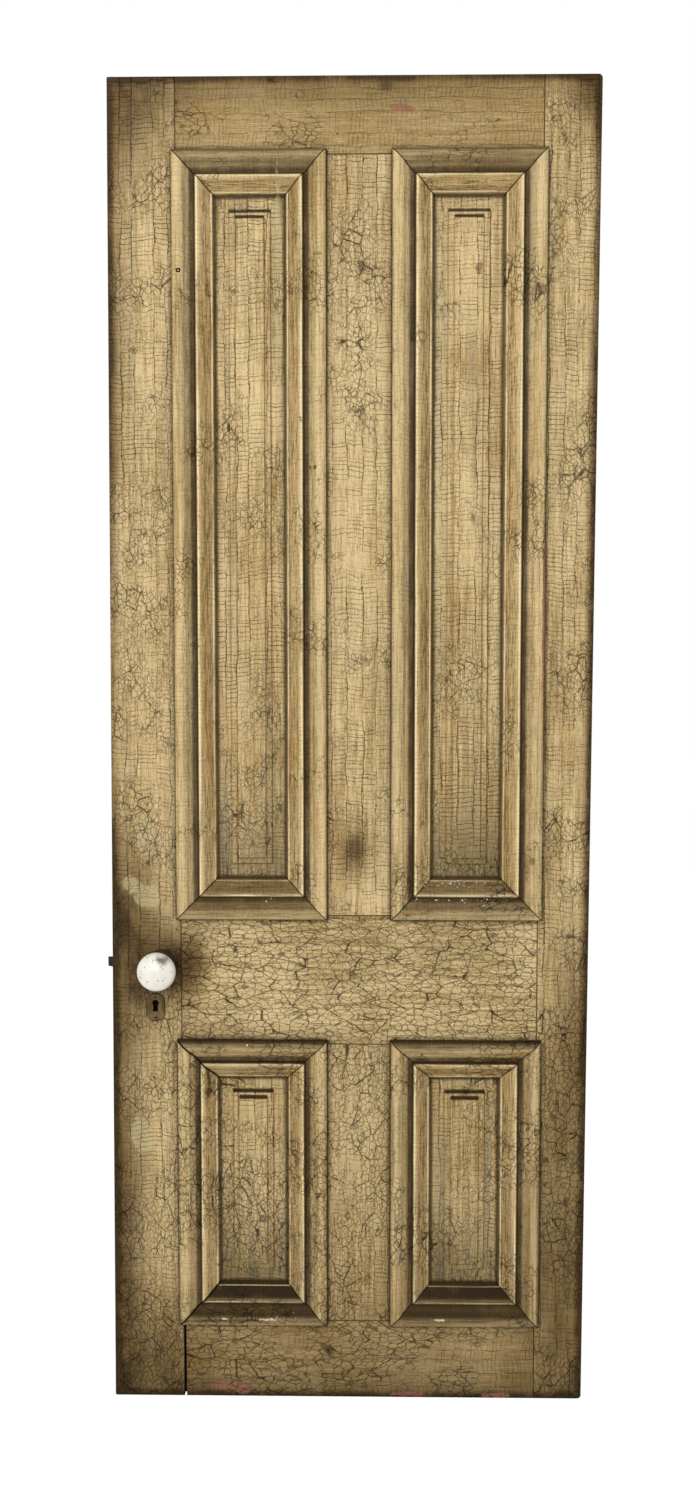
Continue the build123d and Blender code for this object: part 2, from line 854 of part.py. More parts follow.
with BuildPart() as lock_face_screws:
    with Locations(Plane(origin=(lock_face_x, 0, 0), x_dir=(0, 1, 0), z_dir=(-1, 0, 0))):
        with Locations((0, -face_screw_levels[0]), (0, -face_screw_levels[1])):
            add(countersunk_screw(face_screw_radius, face_screw_head, face_screw_length))
lock_face_screws.part.label = "lock_face_screws"
export_step(lock_face_screws.part, "parts/lock_face_screws.step")


# Hub: a barrel with two horns, and a journal at each end that turns in the case and the cap
with BuildPart() as lock_hub:
    bore(
        spindle_x,
        spindle_height,
        hub_radius,
        hub_end_gap - inner_half,
        inner_half - hub_end_gap,
        Mode.ADD,
    )
    bore(
        spindle_x,
        spindle_height,
        journal_radius,
        -case_thickness / 2,
        case_thickness / 2,
        Mode.ADD,
    )
    with BuildSketch(Plane.XZ):
        for up in (-1, 1):
            lean = radians(horn_rest_angle)
            with Locations(
                (
                    spindle_x - horn_reach / 2 * sin(lean),
                    spindle_height + up * horn_reach / 2 * cos(lean),
                )
            ):
                SlotCenterToCenter(horn_reach, horn_width, rotation=90 + up * horn_rest_angle)
    extrude(amount=horn_thickness / 2, both=True)
    slab(
        spindle_x - square_hole / 2,
        spindle_x + square_hole / 2,
        spindle_height - square_hole / 2,
        spindle_height + square_hole / 2,
        2 * case_thickness,
        Mode.SUBTRACT,
    )
lock_hub.part.label = "lock_hub"
export_step(lock_hub.part, "parts/lock_hub.step")


# Latch bolt: bevelled on the front, with a yoke round the hub that the horns draw back
latch_inner = lock_face_inner + latch_inside
yoke_left = spindle_x - yoke_back - yoke_bar
yoke_right = hook_face + yoke_hook
yoke_half = window_half + yoke_arm
with BuildPart() as latch_bolt:
    with BuildSketch(Plane.XY.offset(spindle_height - latch_height / 2)):
        with BuildLine():
            Polyline(
                (lock_face_x - latch_throw, latch_thickness / 2),
                (lock_face_x - latch_throw, latch_thickness / 2 - latch_tip),
                (lock_face_x, -latch_thickness / 2),
                (latch_inner, -latch_thickness / 2),
                (latch_inner, latch_thickness / 2),
                close=True,
            )
        make_face()
    extrude(amount=latch_height)
    with BuildSketch(Plane.YZ.offset(latch_inner)):
        with Locations((0, spindle_height)):
            Circle(latch_shaft_radius)
    extrude(amount=yoke_left - latch_inner)
    slab(
        yoke_left,
        yoke_left + yoke_bar,
        spindle_height - yoke_half,
        spindle_height + yoke_half,
        yoke_thickness,
    )
    for up in (-1, 1):
        arm = [spindle_height + up * window_half, spindle_height + up * yoke_half]
        hook = [arm[0], arm[0] - up * hook_depth]
        slab(yoke_left, yoke_right, min(arm), max(arm), yoke_thickness)
        slab(hook_face, yoke_right, min(hook), max(hook), yoke_thickness)
latch_bolt.part.label = "latch_bolt"
export_step(latch_bolt.part, "parts/latch_bolt.step")

with BuildPart() as latch_spring:
    coil_start = latch_inner + spring_wire
    coil_length = bridge_x - spring_wire - coil_start
    with BuildLine() as coil:
        Helix(
            pitch=coil_length / spring_turns,
            height=coil_length,
            radius=spring_radius,
            center=(coil_start, 0, spindle_height),
            direction=(1, 0, 0),
        )
    with BuildSketch(Plane(origin=coil.line @ 0, z_dir=coil.line % 0)):
        RegularPolygon(radius=spring_wire / 2, side_count=6)
    sweep(path=coil.line, is_frenet=True)
latch_spring.part.label = "latch_spring"
export_step(latch_spring.part, "parts/latch_spring.step")


# Dead bolt: the key turns in the notch under its tail, and a leaf spring holds it by two dents
with BuildPart() as dead_bolt:
    head_end = lock_face_x + dead_head_length
    slab(lock_face_x, head_end, dead_foot, dead_head, dead_thickness)
    slab(head_end, key_x + dead_tail_end, dead_foot, dead_head, dead_tail_thickness)
    slab(
        dead_pin_x - guide_pin_radius - guide_gap,
        dead_pin_x + dead_throw + guide_pin_radius + guide_gap,
        dead_pin_z - guide_pin_radius - guide_gap,
        dead_pin_z + guide_pin_radius + guide_gap,
        2 * dead_thickness,
        Mode.SUBTRACT,
    )
    slab(
        key_x + (dead_throw - talon_width) / 2,
        key_x + (dead_throw + talon_width) / 2,
        dead_foot,
        dead_foot + talon_depth,
        2 * dead_thickness,
        Mode.SUBTRACT,
    )
    for place in (detent_x, detent_x + dead_throw):
        bore(
            place,
            dead_head + detent_radius - detent_depth,
            detent_radius,
            -dead_thickness,
            dead_thickness,
        )
dead_bolt.part.label = "dead_bolt"
export_step(dead_bolt.part, "parts/dead_bolt.step")

with BuildPart() as dead_bolt_spring:
    nose_radius = leaf_nose - leaf_thickness / 2
    nose_z = dead_head + detent_radius - detent_depth + guide_gap
    slope = degrees(atan2(leaf_z - nose_z, leaf_bend))
    nose_points = [
        (detent_x + nose_radius * cos(radians(turn)), nose_z + nose_radius * sin(radians(turn)))
        for turn in (slope - 90, -90, -90 - nose_turn)
    ]
    with BuildSketch(Plane.XZ) as leaf:
        with BuildLine():
            Polyline((leaf_start, leaf_z), (detent_x + leaf_bend, leaf_z), nose_points[0])
            ThreePointArc(*nose_points)
            Line(nose_points[2], (nose_points[2][0] - leaf_tail, nose_points[2][1] + leaf_tail))
        trace(line_width=leaf_thickness)
    extrude(amount=leaf_width / 2, both=True)
dead_bolt_spring.part.label = "dead_bolt_spring"
export_step(dead_bolt_spring.part, "parts/dead_bolt_spring.step")


# Spindle, shanks and knobs, which turn together with the hub; the front of a knob is a wide
# crown arc that meets a tighter shoulder arc, so both follow from its radius and its depth
shoulder_sin = sin(radians(knob_shoulder_turn))
shoulder_cos = cos(radians(knob_shoulder_turn))
crown_radius = (knob_radius * shoulder_sin - knob_front_depth * (1 - shoulder_cos)) / (
    shoulder_cos * shoulder_sin - (1 - shoulder_sin) * (1 - shoulder_cos)
)
shoulder_radius = (knob_front_depth - crown_radius * (1 - shoulder_sin)) / shoulder_sin
spindle_end = door_thickness / 2 + spindle_reach
spindle_axis = Axis((spindle_x, 0, spindle_height), (0, 1, 0))
with BuildPart() as knob_spindle:
    slab(
        spindle_x - spindle_side / 2,
        spindle_x + spindle_side / 2,
        spindle_height - spindle_side / 2,
        spindle_height + spindle_side / 2,
        2 * spindle_end,
    )
knob_spindle.part.label = "knob_spindle"
export_step(knob_spindle.part, "parts/knob_spindle.step")

for name, side in sides.items():
    with BuildPart() as shank:
        collar_start = rose_thickness + bolt_gap
        collar_end = collar_start + collar_length
        with BuildSketch(turning_plane(side)):
            with BuildLine():
                Polyline(
                    (0, bolt_gap),
                    (shank_radius, bolt_gap),
                    (shank_radius, collar_start),
                    (collar_radius, collar_start),
                    (collar_radius, collar_end - collar_bevel),
                    (collar_radius - collar_bevel, collar_end),
                    (shank_radius, collar_end),
                    (shank_radius, neck_place - cup_length),
                )
                ThreePointArc(
                    (shank_radius, neck_place - cup_length),
                    (cup_waist[0], neck_place - cup_waist[1]),
                    (cup_radius, neck_place - cup_rim),
                )
                Polyline(
                    (cup_radius, neck_place - cup_rim),
                    (cup_radius, neck_place),
                    (stem_radius, neck_place),
                    (stem_radius, neck_place + stem_length),
                    (0, neck_place + stem_length),
                    (0, bolt_gap),
                )
            make_face()
        revolve(axis=spindle_axis)
        slab(
            spindle_x - square_hole / 2,
            spindle_x + square_hole / 2,
            spindle_height - square_hole / 2,
            spindle_height + square_hole / 2,
            2 * (spindle_end + bolt_gap),
            Mode.SUBTRACT,
        )
        with BuildSketch(Plane.XY.offset(spindle_height)):
            with Locations((spindle_x, side * (door_thickness / 2 + set_screw_place))):
                Circle(set_screw_radius + screw_fit)
        extrude(amount=collar_radius, mode=Mode.SUBTRACT)
    shank.part.label = f"{name}_knob_shank"
    export_step(shank.part, f"parts/{name}_knob_shank.step")

    with BuildPart() as knob:
        with BuildSketch(turning_plane(side)):
            with BuildLine():
                neck_angle = degrees(acos(knob_neck_radius / knob_radius))
                back_arc = EllipticalCenterArc(
                    (0, knob_middle),
                    knob_radius,
                    knob_back_depth,
                    start_angle=-neck_angle,
                    arc_size=neck_angle,
                )
                shoulder = JernArc(
                    (knob_radius, knob_middle), (0, 1), shoulder_radius, knob_shoulder_turn
                )
                crown = JernArc(
                    shoulder @ 1, shoulder % 1, crown_radius, 90 - knob_shoulder_turn
                )
                Polyline(
                    crown @ 1,
                    (0, neck_place + stem_length + bolt_gap),
                    (stem_radius + stem_fit, neck_place + stem_length + bolt_gap),
                    (stem_radius + stem_fit, neck_place),
                    back_arc @ 0,
                )
            make_face()
        revolve(axis=spindle_axis)
    knob.part.label = f"{name}_knob"
    export_step(knob.part, f"parts/{name}_knob.step")

with BuildPart() as set_screws:
    with BuildSketch(Plane.XY.offset(spindle_height + spindle_side / 2 + screw_fit)):
        for side in sides.values():
            with Locations((spindle_x, side * (door_thickness / 2 + set_screw_place))):
                Circle(set_screw_radius)
    extrude(amount=set_screw_length)
set_screws.part.label = "set_screws"
export_step(set_screws.part, "parts/set_screws.step")


# Roses on both faces and a keyhole escutcheon on the front, with their screws and pins
for name, side in sides.items():
    with BuildPart() as rose:
        with BuildSketch(turning_plane(side)):
            with BuildLine():
                rose_bore = shank_radius + rose_bore_gap
                Polyline(
                    (rose_flat, rose_thickness),
                    (rose_bore, rose_thickness),
                    (rose_bore, 0),
                    (rose_radius, 0),
                    (rose_radius, rose_edge),
                )
                ThreePointArc(
                    (rose_radius, rose_edge), rose_shoulder, (rose_flat, rose_thickness)
                )
            make_face()
        revolve(axis=spindle_axis)
        with Locations(face_plane(side, spindle_x, spindle_height, rose_thickness)):
            with Locations((0, rose_screw_place), (0, -rose_screw_place)):
                CounterSinkHole(
                    screw_radius + screw_fit, screw_head_radius + screw_fit, depth=rose_thickness
                )
    rose.part.label = f"{name}_rose"
    export_step(rose.part, f"parts/{name}_rose.step")

with BuildPart() as front_escutcheon:
    with BuildSketch(face_plane(-1, key_x, escutcheon_middle)):
        RectangleRounded(escutcheon_width, escutcheon_height, escutcheon_corner)
    extrude(amount=escutcheon_thickness)
    outer_face = front_escutcheon.faces().sort_by(Axis.Y)[0]
    chamfer(outer_face.edges(), length=escutcheon_thickness / 2)
    extrude(keyhole(), amount=door_thickness, mode=Mode.SUBTRACT)
    with Locations(face_plane(-1, key_x, escutcheon_middle, escutcheon_thickness)):
        with Locations((0, pin_spread / 2), (0, -pin_spread / 2)):
            Hole(pin_radius + screw_fit, depth=escutcheon_thickness)
front_escutcheon.part.label = "front_escutcheon"
export_step(front_escutcheon.part, "parts/front_escutcheon.step")

with BuildPart() as rose_screws:
    for side in sides.values():
        with Locations(face_plane(side, spindle_x, spindle_height, rose_thickness)):
            with Locations((0, rose_screw_place), (0, -rose_screw_place)):
                add(
                    countersunk_screw(
                        screw_radius, screw_head_radius, rose_thickness + screw_length
                    )
                )
rose_screws.part.label = "rose_screws"
export_step(rose_screws.part, "parts/rose_screws.step")

with BuildPart() as escutcheon_pins:
    for place in (-pin_spread / 2, pin_spread / 2):
        with BuildSketch(face_plane(-1, key_x, escutcheon_middle + place, -pin_length)):
            Circle(pin_radius)
        extrude(amount=pin_length + escutcheon_thickness)
        with BuildSketch(
            face_plane(-1, key_x, escutcheon_middle + place, escutcheon_thickness)
        ):
            Circle(pin_head_radius)
        extrude(amount=pin_head_height, taper=pin_head_slope)
escutcheon_pins.part.label = "escutcheon_pins"
export_step(escutcheon_pins.part, "parts/escutcheon_pins.step")
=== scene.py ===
import math
import random

import bpy
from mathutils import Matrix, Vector


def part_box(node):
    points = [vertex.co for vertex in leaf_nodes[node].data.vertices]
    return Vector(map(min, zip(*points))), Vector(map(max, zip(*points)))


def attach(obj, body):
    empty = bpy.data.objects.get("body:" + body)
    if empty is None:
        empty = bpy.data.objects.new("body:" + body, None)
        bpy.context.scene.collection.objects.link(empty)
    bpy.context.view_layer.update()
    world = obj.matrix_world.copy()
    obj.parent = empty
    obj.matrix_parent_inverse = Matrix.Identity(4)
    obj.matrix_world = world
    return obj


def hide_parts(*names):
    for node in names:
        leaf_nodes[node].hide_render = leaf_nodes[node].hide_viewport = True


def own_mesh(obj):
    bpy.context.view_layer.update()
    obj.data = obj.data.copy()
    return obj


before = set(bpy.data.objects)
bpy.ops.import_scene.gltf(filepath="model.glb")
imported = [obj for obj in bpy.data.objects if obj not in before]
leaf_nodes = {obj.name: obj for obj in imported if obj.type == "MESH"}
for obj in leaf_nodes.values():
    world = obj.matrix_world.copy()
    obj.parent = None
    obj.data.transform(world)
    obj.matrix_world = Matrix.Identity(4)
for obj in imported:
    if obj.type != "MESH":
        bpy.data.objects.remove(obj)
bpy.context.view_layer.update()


# The photographer's place: a camera on a stand about two metres in front of the door,
# a little above its middle and tipped down by less than four degrees, with the frame upright.
camera_place = (0.0294, -2.0823, 1.1374)
camera_tip = 3.80
camera_turn = 0.925
camera_lens = 33.9
camera_film = 36.0

photographer = bpy.data.cameras.new("photographer")
photographer.sensor_fit = "VERTICAL"
photographer.sensor_height = camera_film
photographer.lens = camera_lens
camera = bpy.data.objects.new("photographer", photographer)
camera.location = camera_place
camera.rotation_euler = (math.radians(90 - camera_tip), 0, math.radians(camera_turn))
bpy.context.scene.collection.objects.link(camera)
bpy.context.scene.camera = camera
bpy.context.scene.view_settings.view_transform = "Standard"


# The studio: a white floor that runs out of sight and white air, both of which the camera
# sees as white, one large soft lamp before the door and a weaker one behind it. The floor is
# the first thing here that has a finish, so the sums of the finishes stand in this section.
floor_half = 8.0
floor_paint = (0.9, 0.9, 0.9, 1)
floor_shadow = 0.12
floor_white = 1.07
air_light = 0.55
white_rays = ("Is Camera Ray", "Is Glossy Ray", "Is Transmission Ray")
lamp_aim = Vector((0, 0, 0.95))
lamps = {
    "front_lamp": ((-0.9, -3.4, 2.3), (2.6, 2.6), 95.0),
    "back_lamp": ((1.4, 3.2, 2.4), (2.4, 2.4), 60.0),
}


class Shade:
    """A value that changes over a surface, with the sums that can be done on it."""

    def __init__(self, finish, socket):
        self.finish = finish
        self.socket = socket

    def maths(self, operation, first, second=0.0):
        return self.finish.node("ShaderNodeMath", {"operation": operation}, {0: first, 1: second})

    def __add__(self, other):
        return self.maths("ADD", self, other)

    __radd__ = __add__

    def __sub__(self, other):
        return self.maths("SUBTRACT", self, other)

    def __rsub__(self, other):
        return self.maths("SUBTRACT", other, self)

    def __mul__(self, other):
        return self.maths("MULTIPLY", self, other)

    __rmul__ = __mul__

    def __truediv__(self, other):
        return self.maths("DIVIDE", self, other)

    def __abs__(self):
        return self.maths("ABSOLUTE", self)

    def least(self, other):
        return self.maths("MINIMUM", self, other)

    def most(self, other):
        return self.maths("MAXIMUM", self, other)

    def fade(self, start, end, low=0.0, high=1.0):
        """Rises smoothly from low at start to high at end; start may be the larger."""
        return self.finish.node(
            "ShaderNodeMapRange",
            {"interpolation_type": "SMOOTHSTEP"},
            {"Value": self, "From Min": start, "From Max": end, "To Min": low, "To Max": high},
        )

    def within(self, start, full, ebb, end):
        """Rises from 0 at start to 1 at full, and falls from there at ebb to 0 at end."""
        return self.fade(start, full) * self.fade(end, ebb)

    def line(self, place, half, soft):
        """1 nearer to a place than half, and 0 further from it than soft."""
        return abs(self - place).fade(soft, half)


class Finish:
    """A material, read in metres from where a point lies on the door."""

    def __init__(self, name, **settings):
        self.material = bpy.data.materials.new(name)
        self.material.use_nodes = True
        self.tree = self.material.node_tree
        self.surface = self.tree.nodes["Principled BSDF"]
        for socket, value in settings.items():
            self.surface.inputs[socket.replace("_", " ")].default_value = value
        self.place = self.node("ShaderNodeTexCoord", {}, {}, "Object")
        self.x, self.y, self.z = self.split(self.place)

    def node(self, kind, settings, sockets, output=0):
        made = self.tree.nodes.new(kind)
        for name, value in settings.items():
            setattr(made, name, value)
        for key, value in sockets.items():
            socket = made.inputs[key] if isinstance(key, int) else named(made.inputs, key)
            if isinstance(value, Shade):
                self.tree.links.new(value.socket, socket)
            else:
                socket.default_value = value
        result = made.outputs[output] if isinstance(output, int) else named(made.outputs, output)
        return Shade(self, result)

    def vector(self, operation, *vectors, output="Vector"):
        return self.node("ShaderNodeVectorMath", {"operation": operation}, dict(enumerate(vectors)), output)

    def split(self, vector):
        return [self.node("ShaderNodeSeparateXYZ", {}, {0: vector}, axis) for axis in "XYZ"]

    def noise(self, per_metre, detail=3.0, roughness=0.55, vector=None, output="Fac"):
        """Noise with its own number of features a metre along X, Y and Z."""
        stretched = self.vector("MULTIPLY", vector or self.place, per_metre)
        return self.node(
            "ShaderNodeTexNoise",
            {},
            {"Vector": stretched, "Scale": 1.0, "Detail": detail, "Roughness": roughness},
            output,
        )

    def shelter(self, reach, samples=5):
        """How open a point is: 1 on a plain face, and less in a corner within reach."""
        return self.node("ShaderNodeAmbientOcclusion", {"samples": samples}, {"Distance": reach}, "AO")

    def mix(self, mask, below, above):
        return self.node(
            "ShaderNodeMix",
            {"data_type": "RGBA"},
            {"Factor_Float": mask, "A_Color": below, "B_Color": above},
            "Result_Color",
        )

    def wear(self, colour, roughness, height, depth=0.001):
        """Puts the worked-out colour, roughness and relief (in millimetres) on the surface."""
        relief = self.node(
            "ShaderNodeBump", {}, {"Strength": 1.0, "Distance": depth, "Height": height}, "Normal"
        )
        self.tree.links.new(colour.socket, self.surface.inputs["Base Color"])
        self.tree.links.new(roughness.socket, self.surface.inputs["Roughness"])
        self.tree.links.new(relief.socket, self.surface.inputs["Normal"])


def named(sockets, identifier):
    return next(socket for socket in sockets if socket.identifier == identifier)


floor_mesh = bpy.data.meshes.new("studio_floor")
floor_corners = [(x * floor_half, y * floor_half, 0) for x, y in ((-1, -1), (1, -1), (1, 1), (-1, 1))]
floor_mesh.from_pydata(floor_corners, [], [(0, 1, 2, 3)])
floor = bpy.data.objects.new("studio_floor", floor_mesh)
bpy.context.scene.collection.objects.link(floor)
white_floor = Finish("white_floor", Roughness=0.9, Specular_IOR_Level=0.1)
white_floor.surface.inputs["Base Color"].default_value = floor_paint
seen = [white_floor.node("ShaderNodeLightPath", {}, {}, ray) for ray in white_rays]
shown_white = seen[0].most(seen[1]).most(seen[2]) * (1 - floor_shadow)
glow = white_floor.node("ShaderNodeEmission", {}, {"Color": (1, 1, 1, 1), "Strength": floor_white})
matt = Shade(white_floor, white_floor.surface.outputs[0])
lit = white_floor.node("ShaderNodeMixShader", {}, {0: shown_white, 1: matt, 2: glow})
white_floor.tree.links.new(lit.socket, white_floor.tree.nodes["Material Output"].inputs["Surface"])
floor_mesh.materials.append(white_floor.material)

air = bpy.data.worlds.new("white_air")
air.use_nodes = True
air_nodes = air.node_tree.nodes
air_links = air.node_tree.links
paths = air_nodes.new("ShaderNodeLightPath")
rays_seen = paths.outputs[white_rays[0]]
for ray in white_rays[1:]:
    either = air_nodes.new("ShaderNodeMath")
    either.operation = "MAXIMUM"
    air_links.new(rays_seen, either.inputs[0])
    air_links.new(paths.outputs[ray], either.inputs[1])
    rays_seen = either.outputs[0]
strength = air_nodes.new("ShaderNodeMapRange")
strength.inputs["To Min"].default_value = air_light
strength.inputs["To Max"].default_value = 1.0
air_links.new(rays_seen, strength.inputs["Value"])
air_links.new(strength.outputs["Result"], air_nodes["Background"].inputs["Strength"])
air_nodes["Background"].inputs["Color"].default_value = (1, 1, 1, 1)
bpy.context.scene.world = air

for name, (place, size, power) in lamps.items():
    light = bpy.data.lights.new(name, "AREA")
    light.shape = "RECTANGLE"
    light.size, light.size_y = size
    light.energy = power
    lamp = bpy.data.objects.new(name, light)
    lamp.location = place
    lamp.rotation_euler = (lamp_aim - lamp.location).to_track_quat("-Z", "Y").to_euler()
    bpy.context.scene.collection.objects.link(lamp)


# The frame of the leaf: two stiles, three rails and two muntins of softwood, mortised,
# tenoned and wedged. The oil paint on them is thick, old and cracked into small flakes.
leaf_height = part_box("hinge_stile")[1].z
lock_edge_foot, lock_edge_run = -0.3595, 0.008
hinge_edge_foot, hinge_edge_run = 0.3503, 0.0104
level_spans = {
    "upper": (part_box("lock_rail")[1].z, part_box("top_rail")[0].z),
    "lower": (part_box("bottom_rail")[1].z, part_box("lock_rail")[0].z),
}
side_spans = {
    "left": (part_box("lock_stile")[1].x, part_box("upper_muntin")[0].x),
    "right": (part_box("upper_muntin")[1].x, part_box("hinge_stile")[0].x),
}
openings = {
    f"{level}_{side}": side_spans[side] + level_spans[level] for level in level_spans for side in side_spans
}
joint_half, joint_soft = 0.0004, 0.0013
shoulder_soft = 0.0005

# The paint's colours. The dark browns and blacks also paint shade in corners and hollows, and the rubbed
# cream also paints highlights.
clean_cream = (0.640, 0.485, 0.246, 1)
dull_cream = (0.300, 0.198, 0.070, 1)
golden_varnish = (0.36, 0.215, 0.068, 1)
grime_and_shade_brown = (0.034, 0.019, 0.005, 1)
soot_and_shade_black = (0.028, 0.018, 0.007, 1)
varnish_and_shade_brown = (0.155, 0.085, 0.022, 1)
rubbed_and_highlight_cream = (0.80, 0.665, 0.40, 1)
pale_film = (0.50, 0.425, 0.225, 1)
crack_and_shade_dark = (0.010, 0.005, 0.002, 1)
grey_film = (0.32, 0.26, 0.145, 1)
pink_undercoat = (0.27, 0.105, 0.070, 1)

# How far apart the straight cracks lie, and the large and small flakes between the curved ones
column_spacing = 0.0215
rung_spacing = 0.0066
flakes = {
    "upright": ((0.0210, 0.05, 0.0330), (0.0072, 0.05, 0.0092)),
    "level": ((0.0470, 0.05, 0.0200), (0.0135, 0.05, 0.0078)),
}

# Where dirty hands and damp have darkened the paint: centre, reach along X and Z, strength
grime_patches = [
    ((-0.345, 1.945), (0.13, 0.15), 0.76),
    ((-0.355, 1.62), (0.040, 0.34), 0.55),
    ((-0.345, 0.72), (0.07, 0.20), 0.80),
    ((-0.290, 0.665), (0.080, 0.090), 0.82),
    ((-0.243, 0.668), (0.034, 0.046), 0.70),
    ((-0.355, 0.30), (0.055, 0.45), 0.75),
    ((-0.35, 0.02), (0.17, 0.17), 0.65),
    ((0.0, 0.0), (0.62, 0.20), 0.42),
    ((0.335, 0.18), (0.11, 0.42), 0.62),
    ((0.345, 0.55), (0.07, 0.25), 0.45),
    ((0.36, 1.95), (0.06, 0.10), 0.70),
    ((0.008, 0.838), (0.036, 0.060), 0.52),
    ((0.36, 1.1), (0.022, 1.0), 0.50),
    ((0.0, 1.955), (0.60, 0.060), 0.50),
    ((-0.15, 0.555), (0.28, 0.030), 0.25),
]

# Where the cream has chipped off to the pink coat under it, where knots have bled through,
# where the paint is rubbed pale, and where a pale film lies on it: centre, reach along X and Z
chips = [
    ((0.0705, 1.9152), (0.016, 0.005)),
    ((0.0850, 1.9120), (0.007, 0.003)),
    ((0.1859, 1.6895), (0.006, 0.008)),
    ((-0.1860, 0.0160), (0.030, 0.007)),
    ((-0.1620, 0.0080), (0.012, 0.005)),
    ((0.2835, 1.1900), (0.0035, 0.120)),
    ((0.0900, 0.0060), (0.030, 0.004)),
    ((0.2200, 0.0050), (0.025, 0.004)),
]
knots = [
    ((0.0504, 1.9445), (0.014, 0.010)),
    ((0.0164, 1.6902), (0.011, 0.013)),
    ((0.0165, 1.4843), (0.007, 0.009)),
    ((0.0066, 0.8422), (0.020, 0.030)),
    ((0.2690, 0.8250), (0.005, 0.008)),
    ((0.1274, 0.9242), (0.004, 0.006)),
]
rubs = [
    ((-0.1240, 0.1255), (0.016, 0.0024)),
    ((-0.1900, 0.1262), (0.006, 0.0016)),
    ((-0.1500, 0.7735), (0.030, 0.0012)),
    ((0.1350, 0.1262), (0.012, 0.0018)),
]
pale_films = [
    ((-0.3060, 0.7720), (0.024, 0.020)),
    ((-0.3300, 0.7900), (0.014, 0.012)),
    ((-0.3050, 0.8600), (0.016, 0.040)),
    ((-0.3150, 0.4050), (0.020, 0.030)),
    ((0.1310, 1.4000), (0.008, 0.340)),
    ((-0.1060, 1.6500), (0.006, 0.200)),
]


def near(pieces, patches, reach=1.3):
    """The patches that can touch a group of CAD pieces."""
    boxes = [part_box(piece) for piece in pieces]
    return [
        patch
        for patch in patches
        if any(
            low.x - reach * patch[1][0] < patch[0][0] < high.x + reach * patch[1][0]
            and low.z - reach * patch[1][1] < patch[0][1] < high.z + reach * patch[1][1]
            for low, high in boxes
        )
    ]


def spread_of(finish, patch):
    """How far a point is from the middle of a patch, in parts of its reach."""
    (x, z), (reach_x, reach_z) = patch[:2]
    away = {"X": (finish.x - x) / reach_x, "Z": (finish.z - z) / reach_z}
    return finish.vector("LENGTH", finish.node("ShaderNodeCombineXYZ", {}, away, "Vector"), output="Value")


def opening_distances(paint, opening):
    """Distances into an opening from its nearer upright side and its nearer level side."""
    x_low, x_high, z_low, z_high = opening
    across = (paint.x - x_low).least(x_high - paint.x)
    up = (paint.z - z_low).least(z_high - paint.z)
    return across, up


